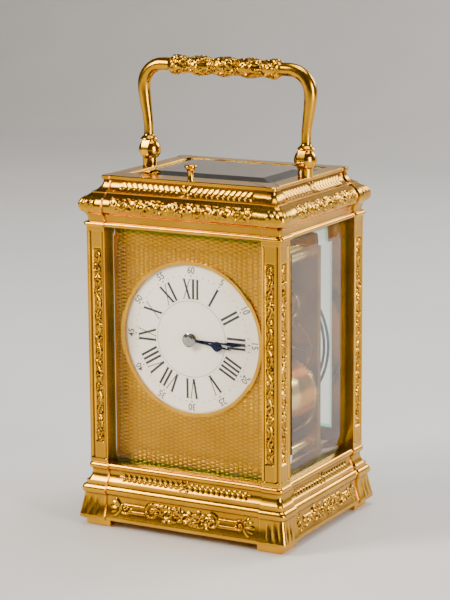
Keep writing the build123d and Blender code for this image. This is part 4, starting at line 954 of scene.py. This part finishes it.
def numeral_bar(x_low, x_high, half, angle):
    """One upright or leaning stroke, with serifs at its ends."""
    low, high = NUMERAL
    rows = []
    for k in range(STROKE_STEPS + 1):
        r = low + (high - low) * k / STROKE_STEPS
        x = x_low + (x_high - x_low) * k / STROKE_STEPS
        rows.append((turned(x - half, r, angle), turned(x + half, r, angle)))
    shapes = [laid(rows)]
    wide = half + SERIF_OVER
    for x, r in ((x_low, low), (x_high, high)):
        shapes.append(laid([(turned(end, r - SERIF_HALF, angle), turned(end, r + SERIF_HALF, angle))
                            for end in (x - wide, x + wide)]))
    return shapes


def numeral(text, angle):
    """Roman numeral read from the middle of the dial."""
    x = -sum(LETTER_WIDTH[c] for c in text) / 2
    shapes = []
    for c in text:
        mid = x + LETTER_WIDTH[c] / 2
        lean = LETTER_WIDTH[c] / 2 - 0.6
        if c == "I":
            shapes += numeral_bar(mid, mid, HEAVY, angle)
        if c == "V":
            shapes += numeral_bar(mid, mid - lean, HEAVY, angle)
            shapes += numeral_bar(mid + 0.1, mid + lean, LIGHT, angle)
        if c == "X":
            shapes += numeral_bar(mid + lean, mid - lean, HEAVY, angle)
            shapes += numeral_bar(mid - lean, mid + lean, LIGHT, angle)
        x += LETTER_WIDTH[c]
    return shapes


def dial_ring(radius, half):
    """Thin painted circle."""
    around = 180
    rows = []
    for k in range(around + 1):
        angle = 2 * math.pi * k / around
        rows.append((turned(0, radius - half, angle), turned(0, radius + half, angle)))
    return laid(rows)


def dot(radius, angle, size):
    """Minute dot, as a small eight-sided spot."""
    rows = []
    for k in range(5):
        t = -1 + 2 * k / 4
        wide = max(0.35, math.sqrt(max(0.0, 1 - t * t))) * size
        rows.append((turned(-wide, radius + t * size, angle), turned(wide, radius + t * size, angle)))
    return laid(rows)


def figures():
    """Minute figures from five to sixty, made from the built-in font and laid on the dome."""
    shapes = []
    for k in range(1, 13):
        angle = 2 * math.pi * k / 12
        curve = bpy.data.curves.new("figure", "FONT")
        curve.body = str(5 * k)
        curve.size = FIGURE_SIZE
        curve.offset = FIGURE_WEIGHT
        curve.align_x = "CENTER"
        curve.resolution_u = 4
        curve.extrude = INK_PROUD
        text = bpy.data.objects.new("figure", curve)
        bpy.context.scene.collection.objects.link(text)
        bpy.context.view_layer.update()
        flat = text.evaluated_get(bpy.context.evaluated_depsgraph_get()).to_mesh()
        points = np.array([v.co[:] for v in flat.vertices])
        faces = [tuple(p.vertices) for p in flat.polygons]
        height = (points[:, 1].max() + points[:, 1].min()) / 2
        placed = []
        for x, r, proud in points:
            plan = turned(x * FIGURE_NARROW, FIGURE_R + r - height, angle)
            placed.append((plan[0], float(enamel_y(math.hypot(*plan))) - proud, DIAL_Z + plan[1]))
        shapes.append((placed, faces))
        bpy.data.objects.remove(text)
        bpy.data.curves.remove(curve)
    return shapes


def numerals():
    """All that is painted on the enamel."""
    shapes = []
    for k, text in enumerate(HOURS):
        shapes += numeral(text, 2 * math.pi * (k + 1) / 12)
    for minute in range(60):
        shapes.append(dot(DOT_R, 2 * math.pi * minute / 60, FIVE_DOT if minute % 5 == 0 else DOT))
    shapes.append(dial_ring(RING_R, RING_HALF))
    make("painted_numerals", *join(*shapes), INK, "case", "enamel", (), 30.0)
    make("minute_figures", *join(*figures()), INK, "case", "enamel", (), 30.0)


def hand(name, node, body, angle, stations):
    """Steel hand with a ridge: stations are (distance out, half width)."""
    low, high = node_box(node)
    front, back = low[1], high[1]
    shoulder = front + HAND_RIDGE
    points = []
    for r, half in stations:
        for x, y in ((-half, shoulder), (0, front), (half, shoulder), (half, back), (-half, back)):
            plan = turned(x, r, angle)
            points.append((plan[0], y, DIAL_Z + plan[1]))
    rows = len(stations)
    faces = grid_faces(rows, 5, wrap_columns=True).tolist()
    faces += [list(range(5)), list(range(5 * (rows - 1), 5 * rows))]
    around = 40
    ring = [(HAND_BOSS_R * math.cos(a), y, DIAL_Z + HAND_BOSS_R * math.sin(a))
            for y in (front, back) for a in turn_steps(around)]
    ring_faces = grid_faces(2, around, wrap_columns=True).tolist()
    ring_faces += [list(range(around)), list(range(around, 2 * around))]
    make(name, *join((points, faces), (ring, ring_faces)), BLUED, body, "blued_steel", [node], 20.0)


def spade(start, neck, blade, tip, thin, wide):
    """Stations of a spade hand: thin shaft, leaf-shaped blade, fine point."""
    stations = [(start, thin * 1.3), (neck, thin)]
    for k in range(1, 14):
        t = k / 14
        swell = math.sin(math.pi * t ** 1.15) ** 1.2
        stations.append((neck + (blade - neck) * t, thin + (wide - thin) * swell))
    return stations + [(blade, thin * 0.9), (tip, thin * 0.3)]


enamel()
numerals()
HOUR_STATIONS = spade(1.5, 8.8, 14.0, 17.8, 0.4, 2.0)
MINUTE_STATIONS = spade(1.5, 14.5, 22.0, 24.6, 0.34, 0.8)
hand("blued_hour_hand", "hour_hand", "hour_pipe", HOUR_ANGLE, HOUR_STATIONS)
hand("blued_minute_hand", "minute_hand", "centre_arbor", MINUTE_ANGLE, MINUTE_STATIONS)

# ------------------------ repeat button


def repeat_button():
    """Mushroom head on a waisted stem."""
    low, high = node_box("repeat_button")
    centre_y = (low[1] + high[1]) / 2
    top = high[2]
    profile = [(0.0, top), (1.2, top - 0.06), (2.0, top - 0.28), (2.4, top - 0.75), (2.35, top - 1.3),
               (1.7, top - 1.9), (1.2, top - 2.8), (1.05, top - 4.0), (1.2, top - 5.2), (1.3, top - 6.0),
               (1.3, low[2] + 1.2), (0.5, low[2]), (0.0, low[2])]
    around = 48
    points = [(r * math.cos(a), centre_y + r * math.sin(a), z)
              for r, z in profile for a in turn_steps(around)]
    make("waisted_button", points, grid_faces(len(profile), around, wrap_columns=True), GILT, "repeat_button",
         "gilt_brass", ["repeat_button"], 60.0)


repeat_button()

# ------------------------ floor, light and camera


FLOOR_HALF = 1.6                 # metres, as are all sizes of the floor and the lights
FLOOR_FRONT, FLOOR_REAR = -1.6, 0.9
CURVE_R = 0.5
WALL_HEIGHT = 1.8
CURVE_STEPS = 16
WARM = (1.0, 0.9, 0.78)
WHITE = (1, 1, 1)
LIGHTS = (
    ("key", (-0.75, -0.75, 0.75), (0.42, 0.6), 20, WARM),
    ("fill", (1.0, -0.3, 0.3), (0.35, 0.6), 13, WARM),
    ("top", (0.1, 0.1, 1.1), (0.7, 0.7), 10, WHITE),
    ("rear", (0.5, 0.9, 0.6), (0.5, 0.5), 8, WHITE),
)
LIGHT_AIM = (0, 0, 0.09)
WORLD_COLOUR, WORLD_STRENGTH = (0.62, 0.60, 0.58, 1), 0.12
CAMERA_AZIMUTH, CAMERA_ELEVATION, CAMERA_ROLL = 28.69, 11.65, -0.364      # degrees
CAMERA_DISTANCE = 849.2
CAMERA_LENS, CAMERA_SENSOR = 132.0, 36.0
TARGET_RIGHT, TARGET_UP = -0.81, 85.84


def floor():
    """Pale floor that curves up into a backdrop."""
    line = [(FLOOR_FRONT, 0.0), (FLOOR_REAR, 0.0)]
    for k in range(1, CURVE_STEPS + 1):
        angle = k / CURVE_STEPS * math.pi / 2
        line.append((FLOOR_REAR + CURVE_R * math.sin(angle), CURVE_R - CURVE_R * math.cos(angle)))
    line.append((FLOOR_REAR + CURVE_R, WALL_HEIGHT))
    points = [(x, y, z) for y, z in line for x in (-FLOOR_HALF, FLOOR_HALF)]
    mesh = bpy.data.meshes.new("floor")
    mesh.from_pydata(points, [], grid_faces(len(line), 2).tolist())
    mesh.shade_smooth()
    n = Nodes("pale_floor")
    tone = n.ramp(n.noise(9.0), (0.3, (0.66, 0.655, 0.64)), (0.7, (0.70, 0.695, 0.68)))
    shader = n.add("BsdfPrincipled", {"Base Color": tone, "Roughness": n.span(n.noise(30.0), 0.5, 0.62)})
    mesh.materials.append(n.surface(shader.outputs[0]))
    obj = bpy.data.objects.new("floor", mesh)
    bpy.context.scene.collection.objects.link(obj)


def area_light(name, place_at, size, power, colour):
    """Soft panel that faces the middle of the clock."""
    light = bpy.data.lights.new(name, "AREA")
    light.shape = "RECTANGLE"
    light.size, light.size_y = size
    light.energy = power
    light.color = colour
    obj = bpy.data.objects.new(name, light)
    obj.location = place_at
    aim = Vector(LIGHT_AIM) - Vector(place_at)
    obj.rotation_mode = "QUATERNION"
    obj.rotation_quaternion = aim.to_track_quat("-Z", "Y")
    bpy.context.scene.collection.objects.link(obj)


def world():
    """Faint even light from all round."""
    scene_world = bpy.data.worlds.new("studio")
    scene_world.use_nodes = True
    back = scene_world.node_tree.nodes["Background"]
    back.inputs["Color"].default_value = WORLD_COLOUR
    back.inputs["Strength"].default_value = WORLD_STRENGTH
    bpy.context.scene.world = scene_world


def camera():
    """Camera to the right of the clock's front and a little above it."""
    azimuth, elevation = math.radians(CAMERA_AZIMUTH), math.radians(CAMERA_ELEVATION)
    roll = math.radians(CAMERA_ROLL)
    back = Vector((math.sin(azimuth) * math.cos(elevation), -math.cos(azimuth) * math.cos(elevation),
                   math.sin(elevation)))
    right = Vector((math.cos(azimuth), math.sin(azimuth), 0))
    up = back.cross(right)
    rolled_right = right * math.cos(roll) + up * math.sin(roll)
    rolled_up = up * math.cos(roll) - right * math.sin(roll)
    target = TARGET_RIGHT * MM * right + Vector((0, 0, TARGET_UP * MM))
    data = bpy.data.cameras.new("camera")
    data.lens, data.sensor_width = CAMERA_LENS, CAMERA_SENSOR
    obj = bpy.data.objects.new("camera", data)
    turn = Matrix((rolled_right, rolled_up, back)).transposed().to_4x4()
    obj.matrix_world = Matrix.Translation(target + back * CAMERA_DISTANCE * MM) @ turn
    bpy.context.scene.collection.objects.link(obj)
    bpy.context.scene.camera = obj


floor()
world()
for lamp in LIGHTS:
    area_light(*lamp)
camera()
